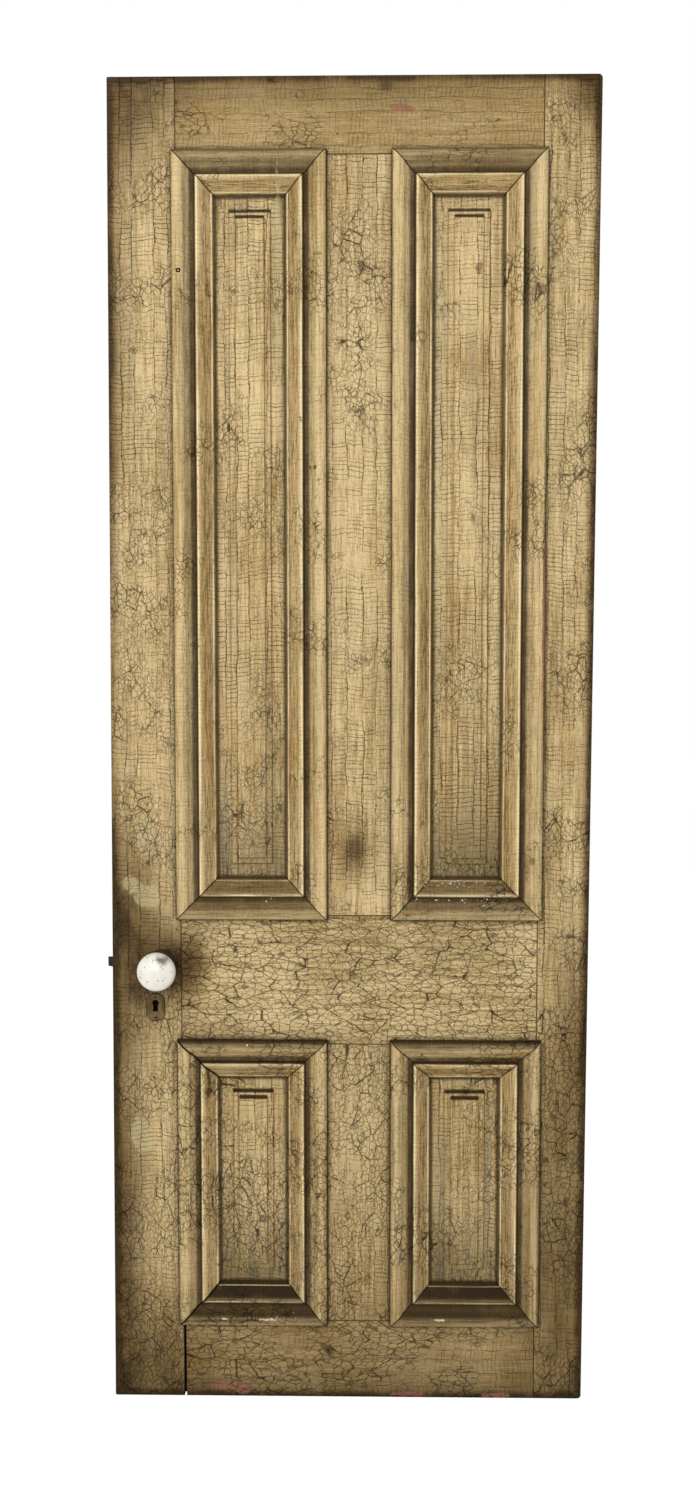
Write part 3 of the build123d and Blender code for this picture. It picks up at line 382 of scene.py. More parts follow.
class OldPaint(Finish):
    """Crackled cream oil paint on pieces with upright or level grain, laid in this order:
    ground, cracks, handling, dirt with painted corner shade, the marks of the piece itself,
    and weather. The seed shifts every pattern, so that no two pieces are marked alike."""

    def __init__(self, pieces, name, grain, seed):
        super().__init__(name, Specular_IOR_Level=0.09)
        self.pieces = pieces
        self.grain = grain
        self.moved = self.vector("ADD", self.place, (seed, seed * 0.7, seed * 1.3))
        self.front = self.y.fade(0.004, -0.004)
        self.facing = self.split(self.node("ShaderNodeNewGeometry", {}, {}, "Normal"))
        self.broad = self.noise((6, 6, 4), 5, 0.6, self.moved)
        self.streaks = self.grained(230, 120, 8, 5, 0.7)
        self.fibres = self.grained(900, 300, 40, 3, 0.7)
        self.film = self.grained(55, 40, 2.5, 4, 0.6).fade(0.50, 0.68)
        self.mottle = self.even(300, 4, 0.7)
        self.patchy = self.even(60, 3, 0.6)
        self.jagged = self.even(420, 3, 0.65)
        self.ragged = self.noise((26, 26, 13), 5, 0.7, self.moved).fade(0.30, 0.68, 0.45, 1.25)

    def grained(self, across, through, along, detail, roughness, output="Fac"):
        """Noise that is drawn out along the grain."""
        per_metre = (across, through, along) if self.grain == "upright" else (along, through, across)
        return self.noise(per_metre, detail, roughness, self.moved, output)

    def even(self, per_metre, detail, roughness, output="Fac"):
        """Noise that is alike every way."""
        return self.noise((per_metre, per_metre, per_metre), detail, roughness, self.moved, output)

    def lay(self, mask, colour):
        self.colour = self.mix(mask, self.colour, colour)

    def ground(self, age, golden, filmed):
        """The cream, dull with age, and yellowed and filmed over in streaks."""
        self.tone = (self.broad * 0.34 + self.streaks * 0.40 + self.mottle * 0.26).fade(0.39, 0.58)
        self.colour = self.mix(self.tone * (1.0 - age), dull_cream, clean_cream)
        self.lay(self.grained(34, 30, 3, 4, 0.6).fade(0.50, 0.70) * golden, golden_varnish)
        self.lay(self.film * filmed, grey_film)
        self.lay(self.fibres.fade(0.54, 0.68) * 0.50, grime_and_shade_brown)
        self.lay(self.fibres.fade(0.44, 0.32) * 0.40, rubbed_and_highlight_cream)
        self.lay(self.even(1000, 2, 0.6).fade(0.58, 0.72) * 0.42, grime_and_shade_brown)

    def crack_net(self, place, flake):
        """Distance from the cracks between flakes of a mean size, in parts of a flake."""
        cells = self.vector("MULTIPLY", place, [1 / size for size in flake])
        return self.node(
            "ShaderNodeTexVoronoi",
            {"feature": "DISTANCE_TO_EDGE"},
            {"Vector": cells, "Scale": 1.0, "Randomness": 1.0},
            "Distance",
        )

    def crack_rows(self, along, spacing):
        """Cracks square to one direction: distance from the nearest, and a number for each gap."""
        rows = [
            self.node(
                "ShaderNodeTexVoronoi",
                {"voronoi_dimensions": "1D", "feature": feature},
                {"W": along / spacing, "Scale": 1.0, "Randomness": 1.0},
                output,
            )
            for feature, output in (("DISTANCE_TO_EDGE", "Distance"), ("F1", "Color"))
        ]
        return rows[0] * spacing, self.split(rows[1])[0]

    def cracks(self, mapped, ladders):
        """Ladders of straight cracks along and across the grain, and two nets of curved ones,
        which show most low down on the door. mapped and ladders say how far each kind shows."""
        drift = self.grained(30, 30, 16, 3, 0.55, "Color")
        bend = self.vector("MULTIPLY_ADD", drift, (0.014, 0.0, 0.014), self.moved)
        jitter = self.even(300, 3, 0.65, "Color")
        bent = self.vector("MULTIPLY_ADD", jitter, (0.0042, 0.0, 0.0042), bend)
        bent_x, _, bent_z = self.split(bent)
        with_grain, over_grain = (bent_z, bent_x) if self.grain == "upright" else (bent_x, bent_z)

        column_gap, column = self.crack_rows(over_grain, column_spacing)
        slanted = with_grain + column * 0.37 + over_grain * (column - 0.5) * 0.25
        rung_gap, rung = self.crack_rows(slanted, rung_spacing)
        shown = self.noise((11, 11, 7), 3, 0.6, self.moved)
        columns_there = (shown * 0.5 + self.patchy * 0.5).fade(0.38, 0.52)
        rungs_there = (shown * 0.40 + rung * 0.34 + self.patchy * 0.30).fade(0.40, 0.60)
        ladder = (column_gap.fade(0.00085, 0.00022) * columns_there * ladders).most(
            rung_gap.fade(0.00068, 0.00015) * rungs_there * ladders * 0.9
        )

        large_flake, small_flake = flakes[self.grain]
        net = self.crack_net(bent, large_flake)
        small_net = self.crack_net(bent, small_flake)
        spread = self.noise((8, 8, 8), 3, 0.6, self.moved) + self.z.fade(1.0, 0.55, 0.0, 0.10)
        net_there = spread.fade(0.58 - mapped * 0.25, 0.66 - mapped * 0.2)
        small_there = (spread * 0.75 + self.patchy * 0.25).fade(
            0.52 - mapped * 0.12, 0.60 - mapped * 0.12, 0.0, 0.78
        )
        thickness = self.patchy.fade(0.3, 0.7, 0.014, 0.044)
        curved = (net.least(1.0) / thickness).fade(1.0, 0.25) * net_there
        curved = curved * self.patchy.fade(0.3, 0.6, 0.55, 1.0)
        curved = curved.most(small_net.fade(0.075, 0.012) * small_there)
        self.cracked = (ladder * (1 - small_there)).most(curved)
        self.lifted = net.fade(0.16, 0.03, 0.0, 0.10) * net_there + rung_gap.fade(0.0020, 0.0004, 0.0, 0.06)

    def handling(self, edges=1.0):
        """Grime from hands and damp, and along the outer edges of the leaf; edges says how
        much cleaner the narrow faces are."""
        on_edge = abs(self.facing[1]).fade(0.6, 0.2) * edges
        grime = self.x * 0.0
        for patch in near(self.pieces, grime_patches):
            grime = grime + spread_of(self, patch).fade(1.3, 0.1, 0.0, patch[2]) * (1 - grime)
        lock_side = self.x - (self.z * (lock_edge_run / leaf_height) + lock_edge_foot)
        hinge_side = (self.z * (hinge_edge_run / leaf_height) + hinge_edge_foot) - self.x
        rim = lock_side.least(hinge_side).least(self.z).least(leaf_height - self.z)
        grime = grime * (1 - on_edge * 0.5) + rim.fade(0.016, 0.0, 0.0, 0.55) * (1 - on_edge * 0.6)
        self.lay((grime * 0.9).least(0.8), varnish_and_shade_brown)
        blotched = grime * grime * self.ragged * self.mottle.fade(0.2, 0.6, 0.7, 1.15)
        self.lay(blotched.least(0.93), grime_and_shade_brown)

    def dirt_and_shade(self, deep=0.38, soot_lies=0.8, spared=0.0):
        """Dirt with painted shade that darkens the corners, less where it is spared, and soot that
        lies on what faces upwards."""
        # Painted shade along with dirt: ambient occlusion darkens corners and hollows.
        corner_dirt_and_shade = self.shelter(0.010).fade(0.88, 0.45, 0.0, 0.70) + self.shelter(0.045).fade(
            0.95, 0.60, 0.0, deep
        )
        corner_dirt_and_shade = corner_dirt_and_shade * self.ragged.fade(0.2, 1.2, 0.7, 1.15) * (1 - spared)
        dust = self.facing[2].fade(0.10, 0.62, 0.0, soot_lies) * self.streaks.fade(0.3, 0.7, 0.75, 1.1)
        self.soil_and_shade = corner_dirt_and_shade.most(dust).least(0.94)
        self.lay(self.soil_and_shade, soot_and_shade_black)

    def weather(self, seams=0.0):
        """Bled knots, pale films, rubs, chips and open cracks, and the relief of them all."""
        cracked = self.cracked.most(seams * 0.95)
        for patches, breaks, gain, start, end, strength, colour in (
            (knots, self.mottle, 0.9, 1.15, 0.25, 0.62, grime_and_shade_brown),
            (pale_films, self.patchy, 1.2, 1.05, 0.7, 0.5, pale_film),
            (rubs, self.jagged, 2.0, 1.0, 0.6, 0.75, rubbed_and_highlight_cream),
        ):
            for patch in near(self.pieces, patches):
                reached = spread_of(self, patch) + breaks * gain - gain / 2
                self.lay(reached.fade(start, end) * self.front * strength, colour)
        chipped = self.x * 0.0
        for patch in near(self.pieces, chips):
            reached = spread_of(self, patch) + self.patchy * 1.6 + self.jagged * 1.2 - 1.4
            chipped = chipped.most(reached.fade(1.0, 0.86))
        chipped = chipped * self.front
        self.lay(chipped * 0.75, pink_undercoat)
        self.lay((cracked * 0.88).least(0.92), crack_and_shade_dark)

        height = self.lifted * (1 - cracked) - chipped * 0.35 - cracked * 0.40
        height = height + self.streaks * 0.30 + self.fibres * 0.10 + self.mottle * 0.12 + self.broad * 0.9
        gloss = (0.60 - self.tone * 0.14) + cracked * 0.25 + self.soil_and_shade * 0.2
        self.wear(self.colour, gloss, height)


def frame_joints(paint):
    """Where rails and muntins end against the stiles and rails."""
    left, muntin_left, low_foot, low_head = openings["lower_left"]
    muntin_right, right, high_foot, high_head = openings["upper_right"]
    muntin_middle = (muntin_left + muntin_right) / 2
    muntin_half = (muntin_right - muntin_left) / 2
    soft = shoulder_soft
    on_rails = paint.z.within(low_head - soft, low_head + soft, high_foot - soft, high_foot + soft)
    on_rails = on_rails.most(paint.z.fade(low_foot + soft, low_foot - soft))
    on_rails = on_rails.most(paint.z.fade(high_head - soft, high_head + soft))
    on_muntins = paint.x.line(muntin_middle, muntin_half - soft, muntin_half + soft)
    shoulders = paint.x.line(left, joint_half, joint_soft).most(paint.x.line(right, joint_half, joint_soft))
    ends = paint.z.line(low_foot, joint_half, joint_soft)
    for level in (low_head, high_foot, high_head):
        ends = ends.most(paint.z.line(level, joint_half, joint_soft))
    return (shoulders * on_rails).most(ends * on_muntins)


def frame_paint(name, grain, seed, mapped=0.3, age=0.0, ladders=1.0):
    paint = OldPaint([name], name + "_paint", grain, seed)
    paint.ground(age, golden=0.38, filmed=0.25)
    paint.cracks(mapped, ladders)
    paint.handling()
    paint.dirt_and_shade()
    paint.weather(frame_joints(paint))
    return paint.material


def painted(names, material):
    """Gives CAD pieces their finish."""
    for name in names:
        node = leaf_nodes[name]
        node.data.materials.clear()
        node.data.materials.append(material)


painted(["lock_stile"], frame_paint("lock_stile", "upright", 0.0, age=0.06))
painted(["hinge_stile"], frame_paint("hinge_stile", "upright", 1.3))
painted(["upper_muntin"], frame_paint("upper_muntin", "upright", 2.9))
painted(["lower_muntin"], frame_paint("lower_muntin", "upright", 3.7, age=0.22))
painted(["top_rail"], frame_paint("top_rail", "level", 4.1, mapped=0.0, age=0.66, ladders=0.6))
painted(["lock_rail"], frame_paint("lock_rail", "level", 5.7, mapped=1.0))
painted(["bottom_rail"], frame_paint("bottom_rail", "level", 7.9, mapped=0.15, age=0.40, ladders=0.8))


# The panels: four softwood boards in the grooves of the frame, each with a raised field
# inside two small steps. They stand upright in grain, and dust and a painted shadow lie
# along their upper steps.
field_steps = (0.075, 0.084)
ledge_starts = (0.0740, 0.0835)
ledge_drop = 0.0007
panel_ages = {"upper_left": 0.0, "upper_right": 0.0, "lower_left": 0.12, "lower_right": 0.04}


def panel_paint(name, opening, age):
    paint = OldPaint([name], name + "_paint", "upright", 3.3 + opening[0] + opening[2])
    across, up = opening_distances(paint, opening)
    edge = across.least(up)
    paint.ground(age, golden=0.38, filmed=0.5)
    paint.cracks(mapped=0.15, ladders=1.0)
    paint.handling()
    paint.dirt_and_shade(spared=edge.fade(0.068, 0.072, 0.0, 0.75) * paint.front)

    first, second = (edge.within(at - 0.0020, at + 0.0002, at + 0.0010, at + 0.0035) for at in field_steps)
    paint.lay(first.most(second) * paint.front * 0.35, golden_varnish)
    # Painted shadow with dust: dark lines under the head of each upper step.
    below_head = opening[3] - paint.z
    first, second = (
        below_head.line(at + ledge_drop, 0.0018, 0.0040) * across.fade(start, start + 0.0025)
        for at, start in zip(field_steps, ledge_starts)
    )
    paint.lay(first.most(second) * paint.front * 0.93, grime_and_shade_brown)
    margin = edge.fade(field_steps[0] + 0.0015, field_steps[0] - 0.0015)
    paint.lay(margin * paint.film * 0.5, grey_film)
    low = (paint.z - opening[2]).fade(0.21, 0.06) * paint.streaks.fade(0.3, 0.65, 0.25, 1.0)
    paint.lay(low * 0.72, grime_and_shade_brown)
    paint.lay(edge.fade(0.0610, 0.0556) * paint.front * 0.80, grime_and_shade_brown)
    paint.weather()
    return paint.material


for opening_name, opening in openings.items():
    panel = opening_name + "_panel"
    painted([panel], panel_paint(panel, opening, panel_ages[opening_name]))


# The bolection mouldings: sixteen planed strips that stand proud of the frame, nailed over
# the joint of frame and panel and mitred at the corners, with dirt and painted shade in every
# hollow and painted highlights on their crests, beads and arrises.
moulding_lap = 0.0065
moulding_reach = (0.09, 0.07)
# Their profile, in from the outer edge: where each form starts, is full, ebbs and ends
crest = (0.002, 0.006, 0.011, 0.017)
hollow = (0.0225, 0.0285, 0.0348, 0.0360)
quirk = (0.0312, 0.0326, 0.0346, 0.0356)
bead = (0.0346, 0.0362, 0.0400, 0.0430)
slope = (0.041, 0.046, 0.0570, 0.0600)
bead_arris, nose_arris = 0.0372, 0.0574
# Soot and painted shade: how much soot lies, how far soot darkens crest and slope at the foot
# of a panel, and how far and down to where soot and painted shade darken the strip at its head
soot_and_shade_by_row = {
    "upper": {"soot_lies": 0.42, "foot": (0.36, 0.0), "head": (0.50, 0.036, 0.030)},
    "lower": {"soot_lies": 0.92, "foot": (0.74, 0.36), "head": (0.72, 0.0135, 0.0075)},
}
moulding_ages = {"upper": 0.08, "lower": 0.22}


def moulding_paint(strips, name, grain, seed, opening, age, soot_lies, foot, head, open_mitres):
    """open_mitres says how far the gaps at the mitres on the lock side have widened."""
    paint = OldPaint(strips, name, grain, seed)
    paint.ground(age, golden=0.60, filmed=0.5)
    paint.cracks(mapped=0.0, ladders=0.45)
    paint.handling(edges=0.0)
    paint.dirt_and_shade(deep=0.16, soot_lies=soot_lies)

    across, up = opening_distances(paint, opening)
    run = across.least(up) + moulding_lap
    sloped = run.within(*slope)
    paint.lay(sloped * 0.30, golden_varnish)
    paint.lay(sloped * paint.fibres.fade(0.5, 0.62) * 0.6, grime_and_shade_brown)
    paint.lay(sloped * paint.streaks.fade(0.46, 0.36) * 0.55, varnish_and_shade_brown)
    # Dirt and painted shade in the hollow and in the quirk beside the bead.
    hollow_dirt_and_shade = (run.within(*hollow) * 0.80).most(run.within(*quirk))
    paint.lay((hollow_dirt_and_shade * paint.ragged.fade(0.2, 1.2, 0.85, 1.15)).least(0.92), grime_and_shade_brown)
    # On level strips: soot at the foot of a panel, and soot with painted shade on the outer part of the
    # strip at its head.
    if grain == "level":
        at_foot = (paint.z - opening[2]).fade(*moulding_reach)
        at_head = (opening[3] - paint.z).fade(*moulding_reach)
        at_foot = at_foot * (run.fade(0.0030, 0.0090) * foot[0] + sloped * foot[1])
        soot_and_head_shade = at_foot.most(at_head * run.fade(*head[1:]) * head[0])
        paint.lay(soot_and_head_shade * 0.55, varnish_and_shade_brown)
        paint.lay(soot_and_head_shade * paint.ragged.fade(0.3, 1.1, 0.6, 1.0), soot_and_shade_black)
    joints = run.fade(0.0022, 0.0).most(run.fade(0.0580, 0.0605) * 0.8)
    paint.lay(joints * 0.92, grime_and_shade_brown)
    # Painted highlight with rubbed paint on the crest and the bead.
    rubbed_and_lit_crowns = run.within(*crest).most(run.within(*bead))
    rub_and_highlight = 1.0 if grain == "upright" else 0.4
    paint.lay(rubbed_and_lit_crowns * paint.streaks.fade(0.38, 0.58, 0.1, 0.55) * rub_and_highlight, clean_cream)
    # Painted highlights along the arrises of the bead and the nose.
    arris_highlights = run.line(bead_arris, 0.0006, 0.0016).most(run.line(nose_arris, 0.0004, 0.0012) * 0.8)
    rub_and_highlight = 0.9 if grain == "upright" else 0.55
    paint.lay(arris_highlights * paint.streaks.fade(0.36, 0.56, 0.2, 0.95) * rub_and_highlight, rubbed_and_highlight_cream)

    opened = (paint.x - opening[0]).fade(0.07, 0.055, 1.0, 1.0 + open_mitres)
    mitres = (abs(across - up) / opened).fade(0.0017, 0.0006) * across.most(up).fade(0.060, 0.055)
    paint.weather(mitres)
    return paint.material


for opening_name, opening in openings.items():
    level = opening_name.split("_")[0]
    seed = 6.1 + opening[0] * 3 + opening[2]
    age = moulding_ages[level]
    for grain, sides in (("upright", ("left", "right")), ("level", ("top", "bottom"))):
        strips = [f"{opening_name}_{side}_moulding" for side in sides]
        finish = moulding_paint(
            strips,
            f"{opening_name}_{grain}_moulding_paint",
            grain,
            seed,
            opening,
            age,
            open_mitres=1.0 if opening_name == "lower_left" else 0.15,
            **soot_and_shade_by_row[level],
        )
        painted(strips, finish)
        seed += 0.8
        age += 0.12


# The wedges: slips of the same softwood driven into the ends of the tenons. Their sawn
# end grain shows on both edges of the door, bare and darkened by handling.
def bare_end_grain():
    wood = Finish("bare_end_grain", Specular_IOR_Level=0.25)
    rings = wood.noise((40, 260, 900), 4, 0.6)
    stain = wood.noise((60, 60, 60), 3, 0.6)
    colour = wood.mix(rings.fade(0.35, 0.65), (0.20, 0.115, 0.045, 1), (0.36, 0.225, 0.10, 1))
    colour = wood.mix(stain.fade(0.45, 0.7) * 0.7, colour, grime_and_shade_brown)
    wood.wear(colour, rings * 0.2 + 0.68, rings * 0.3)
    return wood.material


painted(["tenon_wedges"], bare_end_grain())


# The lock: a cast iron case let into the lock stile, with its bolts, hub and springs. Iron
# and steel are brown-black with age and patched with rust.
def old_iron(name, bare, rust, rough, metallic):
    iron = Finish(name, Metallic=metallic, Specular_IOR_Level=0.2)
    patches = iron.noise((140, 140, 140), 4, 0.65)
    grain = iron.noise((1400, 1400, 1400), 3, 0.6)
    colour = iron.mix(patches.fade(0.46, 0.62), bare, rust)
    colour = iron.mix(grain.fade(0.35, 0.7) * 0.35, colour, soot_and_shade_black)
    iron.wear(colour, patches * 0.25 + rough, grain * 0.06 + patches * 0.12)
    return iron.material


iron = old_iron("old_iron", (0.016, 0.013, 0.011, 1), (0.034, 0.018, 0.009, 1), 0.55, 0.15)
steel = old_iron("old_steel", (0.23, 0.22, 0.20, 1), (0.13, 0.08, 0.05, 1), 0.28, 0.85)
fixing = old_iron("fixing_steel", (0.060, 0.048, 0.036, 1), (0.070, 0.036, 0.020, 1), 0.42, 0.6)
pin_heads = old_iron("pin_heads", (0.005, 0.004, 0.003, 1), (0.012, 0.007, 0.004, 1), 0.7, 0.0)
painted(["lock_case", "lock_cap", "lock_hub", "latch_bolt", "dead_bolt"], iron)
painted(["knob_spindle", "front_knob_shank", "back_knob_shank"], iron)
painted(["front_rose", "back_rose"], iron)
painted(["latch_spring", "dead_bolt_spring"], steel)
painted(["cap_screws", "lock_face_screws", "rose_screws", "set_screws"], fixing)
painted(["escutcheon_pins"], pin_heads)


# The knobs: turned and glazed white porcelain, cemented on iron shanks. The glaze is stained
# brown on one side of the front knob and specked all over with small pits.
knob_stain = ((-0.2740, 0.6870), (0.0130, 0.0080))
pits_per_metre = (210, 210, 210)


def white_porcelain():
    glaze = Finish("white_porcelain", IOR=1.5, Coat_Weight=0.25, Coat_Roughness=0.12)
    cloud = glaze.noise((26, 26, 26), 4, 0.6)
    pits = glaze.node(
        "ShaderNodeTexVoronoi",
        {"feature": "F1"},
        {"Vector": glaze.vector("MULTIPLY", glaze.place, pits_per_metre), "Scale": 1.0},
        "Distance",
    )
    specked = pits.fade(0.30, 0.16) * glaze.noise((110, 110, 110), 2, 0.5).fade(0.50, 0.58)
    stain = spread_of(glaze, knob_stain) + glaze.noise((170, 170, 170), 4, 0.7) * 1.5 - 0.75
    stain = stain.fade(1.05, 0.25)
    colour = glaze.mix(cloud.fade(0.40, 0.70) * 0.5, (0.76, 0.745, 0.655, 1), (0.62, 0.59, 0.48, 1))
    colour = glaze.mix(stain * 0.9, colour, (0.090, 0.065, 0.042, 1))
    colour = glaze.mix(specked * 0.85, colour, (0.16, 0.12, 0.08, 1))
    glaze.wear(colour, cloud * 0.12 + stain * 0.3 + 0.10, cloud * 0.05 - specked * 0.08)
    return glaze.material


painted(["front_knob", "back_knob"], white_porcelain())


# The escutcheon: a thin iron plate round the keyhole, held by two pins and painted over with
# the door, so that it is smooth and brown rather than cracked. It is darker round its rim,
# and painted shade darkens its corners.
plate_low, plate_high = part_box("front_escutcheon")
plate_middle = (plate_low + plate_high) / 2
plate_half = (plate_high - plate_low) / 2


def painted_iron():
    plate = Finish("painted_iron", Specular_IOR_Level=0.15)
    cloud = plate.noise((90, 90, 60), 4, 0.6)
    worn = plate.noise((420, 420, 420), 3, 0.6)
    colour = plate.mix(cloud.fade(0.35, 0.65), (0.075, 0.045, 0.014, 1), (0.155, 0.102, 0.038, 1))
    # Painted shade in the plate's corners, from ambient occlusion.
    colour = plate.mix(plate.shelter(0.004, 6).fade(0.9, 0.5, 0.0, 0.9), colour, crack_and_shade_dark)
    colour = plate.mix(worn.fade(0.66, 0.74) * 0.6, colour, crack_and_shade_dark)
    rim_x = abs(plate.x - plate_middle.x) / plate_half.x
    rim_z = abs(plate.z - plate_middle.z) / plate_half.z
    colour = plate.mix(rim_x.most(rim_z).fade(0.86, 0.98) * 0.75, colour, crack_and_shade_dark)
    plate.wear(colour, cloud * 0.2 + 0.42, cloud * 0.35 + worn * 0.05)
    return plate.material


painted(["front_escutcheon"], painted_iron())


# The screws of the roses and of the lock's face: old slotted countersunk wood screws of
# steel, driven by hand, so that no two slots point the same way.
spindle_place = (-0.2836, 0.6675)
rose_face = 0.0215
rose_screw_reach = 0.015
lock_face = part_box("lock_case")[0].x
lock_face_middle = 0.641
lock_screw_reach = 0.0565
countersink = math.radians(41)
slot_width = 0.0008
slot_depth = 0.0009


def copies(name, shape, sizes, places, material, stands_for=()):
    """Geometry Nodes puts a small shape of the named sizes at every place. A place says
    where, facing which way, turned how far, and spread how much along its own axes."""
    points = bpy.data.meshes.new(name)
    points.from_pydata([place[0] for place in places], [], [])
    attributes = (("facing", "FLOAT_VECTOR"), ("turn", "FLOAT"), ("spread", "FLOAT_VECTOR"))
    for column, (label, kind) in enumerate(attributes, 1):
        values = points.attributes.new(label, kind, "POINT").data
        for value, place in zip(values, places):
            setattr(value, "value" if kind == "FLOAT" else "vector", place[column])
    piece = bpy.data.objects.new(name, points)
    bpy.context.scene.collection.objects.link(piece)

    tree = bpy.data.node_groups.new(name, "GeometryNodeTree")
    tree.interface.new_socket("Places", in_out="INPUT", socket_type="NodeSocketGeometry")
    tree.interface.new_socket("Finish", in_out="INPUT", socket_type="NodeSocketMaterial")
    for label in sizes:
        tree.interface.new_socket(label, in_out="INPUT", socket_type="NodeSocketFloat")
    tree.interface.new_socket("Pieces", in_out="OUTPUT", socket_type="NodeSocketGeometry")

    def step(kind, settings, sockets, output=0):
        made = tree.nodes.new(kind)
        for key, value in settings.items():
            setattr(made, key, value)
        for key, value in sockets.items():
            socket = made.inputs[key]
            if isinstance(value, bpy.types.NodeSocket):
                tree.links.new(value, socket)
            else:
                socket.default_value = value
        return made.outputs[output]

    def stored(label, kind):
        return step("GeometryNodeInputNamedAttribute", {"data_type": kind}, {"Name": label}, "Attribute")

    given = tree.nodes.new("NodeGroupInput").outputs
    facing = stored("facing", "FLOAT_VECTOR")
    facing = step("FunctionNodeAlignRotationToVector", {"axis": "Z"}, {"Vector": facing})
    spin = {"Axis": (0, 0, 1), "Angle": stored("turn", "FLOAT")}
    spin = step("FunctionNodeAxisAngleToRotation", {}, spin)
    turned = {"Rotation": facing, "Rotate By": spin}
    turned = step("FunctionNodeRotateRotation", {"rotation_space": "LOCAL"}, turned)
    whole = step(
        "GeometryNodeInstanceOnPoints",
        {},
        {
            "Points": given["Places"],
            "Instance": shape(step, given),
            "Rotation": turned,
            "Scale": stored("spread", "FLOAT_VECTOR"),
        },
    )
    whole = step("GeometryNodeRealizeInstances", {}, {"Geometry": whole})
    whole = step("GeometryNodeSetMaterial", {}, {"Geometry": whole, "Material": given["Finish"]})
    tree.links.new(whole, tree.nodes.new("NodeGroupOutput").inputs[0])

    modifier = piece.modifiers.new(name, "NODES")
    modifier.node_group = tree
    modifier[given["Finish"].identifier] = material
    for label, size in sizes.items():
        modifier[given[label].identifier] = size
    settled = piece.evaluated_get(bpy.context.evaluated_depsgraph_get())
    made = bpy.data.meshes.new_from_object(settled)
    piece.modifiers.remove(modifier)
    piece.data = made
    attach(piece, "leaf")
    if stands_for:
        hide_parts(*stands_for)
    return piece


def raised(step, part, height):
    """A part of a small shape, moved along the shape's own axis."""
    along = step("ShaderNodeCombineXYZ", {}, {"Z": height})
    return step("GeometryNodeTransform", {}, {"Geometry": part, "Translation": along})


def carved(step, part, cutter):
    return step(
        "GeometryNodeMeshBoolean",
        {"operation": "DIFFERENCE", "solver": "EXACT"},
        {"Mesh 1": part, "Mesh 2": cutter},
        "Mesh",
    )


def slotted_screw(step, size):
    head = {
        "Vertices": 32,
        "Radius Top": size["Head radius"],
        "Radius Bottom": size["Shank radius"],
        "Depth": size["Head depth"],
    }
    head = raised(step, step("GeometryNodeMeshCone", {}, head, "Mesh"), size["Head foot"])
    slot = {"X": size["Slot length"], "Y": size["Slot width"], "Z": size["Slot height"]}
    slot = step("ShaderNodeCombineXYZ", {}, slot)
    head = carved(step, head, step("GeometryNodeMeshCube", {}, {"Size": slot}, "Mesh"))
    shank = {"Vertices": 32, "Radius": size["Shank radius"], "Depth": size["Shank length"]}
    shank = raised(step, step("GeometryNodeMeshCylinder", {}, shank, "Mesh"), size["Shank middle"])
    whole = step("GeometryNodeJoinGeometry", {}, {"Geometry": head})
    whole.node.id_data.links.new(shank, whole.node.inputs["Geometry"])
    return whole


def screw_sizes(radius, head_radius, length):
    head_depth = (head_radius - radius) / math.tan(countersink)
    return {
        "Head radius": head_radius,
        "Head depth": head_depth,
        "Head foot": -head_depth,
        "Shank radius": radius,
        "Shank length": length - head_depth,
        "Shank middle": -(length + head_depth) / 2,
        "Slot length": 3 * head_radius,
        "Slot width": slot_width,
        "Slot height": 2 * slot_depth,
    }


rose_places = [
    (
        (spindle_place[0], side * rose_face, spindle_place[1] + up * rose_screw_reach),
        (0, side, 0),
        turn,
        (1, 1, 1),
    )
    for side, up, turn in ((-1, -1, 0.4), (-1, 1, 1.9), (1, -1, 2.7), (1, 1, 1.2))
]
rose_screw = screw_sizes(0.0015, 0.0032, 0.0125)
copies(
    "slotted_rose_screws",
    slotted_screw,
    rose_screw,
    rose_places,
    fixing,
    ["rose_screws"],
)
face_places = [
    ((lock_face, 0, lock_face_middle + up * lock_screw_reach), (-1, 0, 0), turn, (1, 1, 1))
    for up, turn in ((-1, 0.3), (1, 1.4))
]
face_screw = screw_sizes(0.0018, 0.0038, 0.018)
copies(
    "slotted_lock_screws",
    slotted_screw,
    face_screw,
    face_places,
    fixing,
    ["lock_face_screws"],
)


# The latch spring: five open turns of hard steel wire between the tail of the latch and a
# bridge in the case. Drawing the latch back presses it together.
coil_start, coil_end = -0.344229, -0.325929
coil_place = (coil_start, 0, spindle_place[1])
coil_sizes = {
    "Turns": 5.0,
    "Coil radius": 0.0046,
    "Coil length": coil_end - coil_start,
    "Wire radius": 0.00045,
}


def wound_wire(step, size):
    wire = {
        "Resolution": 28,
        "Rotations": size["Turns"],
        "Start Radius": size["Coil radius"],
        "End Radius": size["Coil radius"],
        "Height": size["Coil length"],
    }
    wire = step("GeometryNodeCurveSpiral", {}, wire)
    section = {"Resolution": 8, "Radius": size["Wire radius"]}
    section = step("GeometryNodeCurvePrimitiveCircle", {"mode": "RADIUS"}, section)
    return step("GeometryNodeCurveToMesh", {}, {"Curve": wire, "Profile Curve": section, "Fill Caps": True})


coil_places = [(coil_place, (1, 0, 0), 0.0, (1, 1, 1))]
coil = copies(
    "wound_latch_spring",
    wound_wire,
    coil_sizes,
    coil_places,
    steel,
    ["latch_spring"],
)
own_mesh(coil)


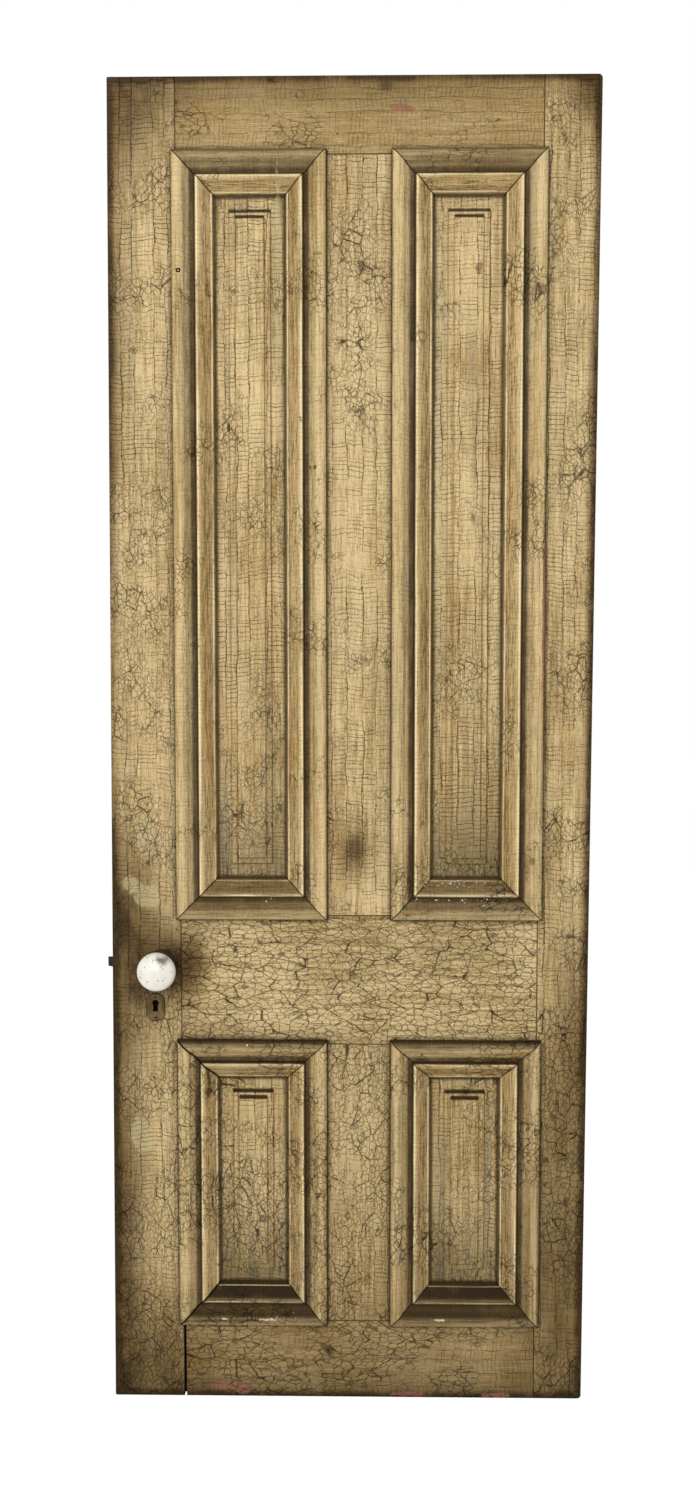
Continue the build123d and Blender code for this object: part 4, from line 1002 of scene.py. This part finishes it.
# The nails: driven through the mouldings and a few through the frame, and punched level with
# the paint or a little below it. Their heads are dished by the punch and dark with rust.
nail_sizes = {
    "Top radius": 0.0011,
    "Foot radius": 0.0017,
    "Thickness": 0.0005,
    "Punch radius": 0.0011,
    "Punch height": 0.0011,
}
nail_depth = 0.0002
nail_turn = 0.7
nail_marks = [
    (-0.2490, 1.6843, 2.1),
    (-0.0556, 1.6821, 1.7),
    (0.2620, 1.6849, 1.5),
    (-0.0518, 1.4028, 1.7),
    (-0.0590, 1.4030, 1.2),
    (-0.0195, 1.8782, 0.7),
    (0.1996, 1.7905, 0.8),
    (-0.3300, 0.5750, 0.8),
    (-0.2960, 0.4950, 0.9),
    (0.2860, 0.8300, 0.9),
]


def laid_on_face(x, z):
    """The point of the painted front at a place, and which way the surface looks there."""
    best = None
    for name, node in leaf_nodes.items():
        if not name.endswith(("stile", "rail", "muntin", "panel", "moulding")):
            continue
        hit, point, normal, _ = node.ray_cast((x, -0.2, z), (0, 1, 0))
        if hit and (best is None or point.y < best[0].y):
            best = (point.copy(), normal.copy())
    return best


def nail_head(step, size):
    head = {
        "Vertices": 9,
        "Radius Top": size["Top radius"],
        "Radius Bottom": size["Foot radius"],
        "Depth": size["Thickness"],
    }
    head = step("GeometryNodeMeshCone", {}, head, "Mesh")
    dent = {"Radius": size["Punch radius"], "Subdivisions": 2}
    dent = step("GeometryNodeMeshIcoSphere", {}, dent, "Mesh")
    return carved(step, head, raised(step, dent, size["Punch height"]))


nail_places = []
for index, (x, z, size) in enumerate(nail_marks):
    point, normal = laid_on_face(x, z)
    nail_places.append((point - normal * nail_depth, normal, index * nail_turn, (size, size * 1.2, 1)))
copies("punched_nails", nail_head, nail_sizes, nail_places, pin_heads)


# The plaster specks: white splashes that fell on the mouldings at the foot of the right-hand
# upper panel long ago, and a few on the ledges of the two panels on the lock side.
speck_sizes = {"Speck radius": 0.0006}
speck_seed = 7
# Middle along X and Z, reach along X and Z, and how many
speck_falls = (
    (0.155, 0.7890, 0.045, 0.007, 34),
    (0.165, 0.7655, 0.060, 0.005, 26),
    (-0.150, 0.7640, 0.070, 0.006, 4),
    (-0.140, 0.5480, 0.080, 0.006, 3),
    (-0.140, 0.1250, 0.080, 0.010, 5),
)


def white_plaster():
    plaster = Finish("white_plaster", Specular_IOR_Level=0.1)
    grain = plaster.noise((900, 900, 900), 3, 0.6)
    colour = plaster.mix(grain.fade(0.3, 0.7), (0.62, 0.60, 0.55, 1), (0.90, 0.89, 0.86, 1))
    plaster.wear(colour, grain * 0.2 + 0.7, grain * 0.1)
    return plaster.material


def speck(step, size):
    return step("GeometryNodeMeshIcoSphere", {}, {"Radius": size["Speck radius"], "Subdivisions": 2}, "Mesh")


chance = random.Random(speck_seed)
speck_places = []
for middle_x, middle_z, reach_x, reach_z, count in speck_falls:
    for _ in range(count):
        x = chance.gauss(middle_x, reach_x * 0.5)
        z = chance.gauss(middle_z, reach_z * 0.5)
        point, normal = laid_on_face(x, z)
        size = chance.uniform(0.5, 1.0) ** 2 * 1.7
        turn = chance.uniform(0, 3)
        speck_places.append((point, normal, turn, (size, size * chance.uniform(0.6, 1.4), 0.6)))
copies("plaster_specks", speck, speck_sizes, speck_places, white_plaster())
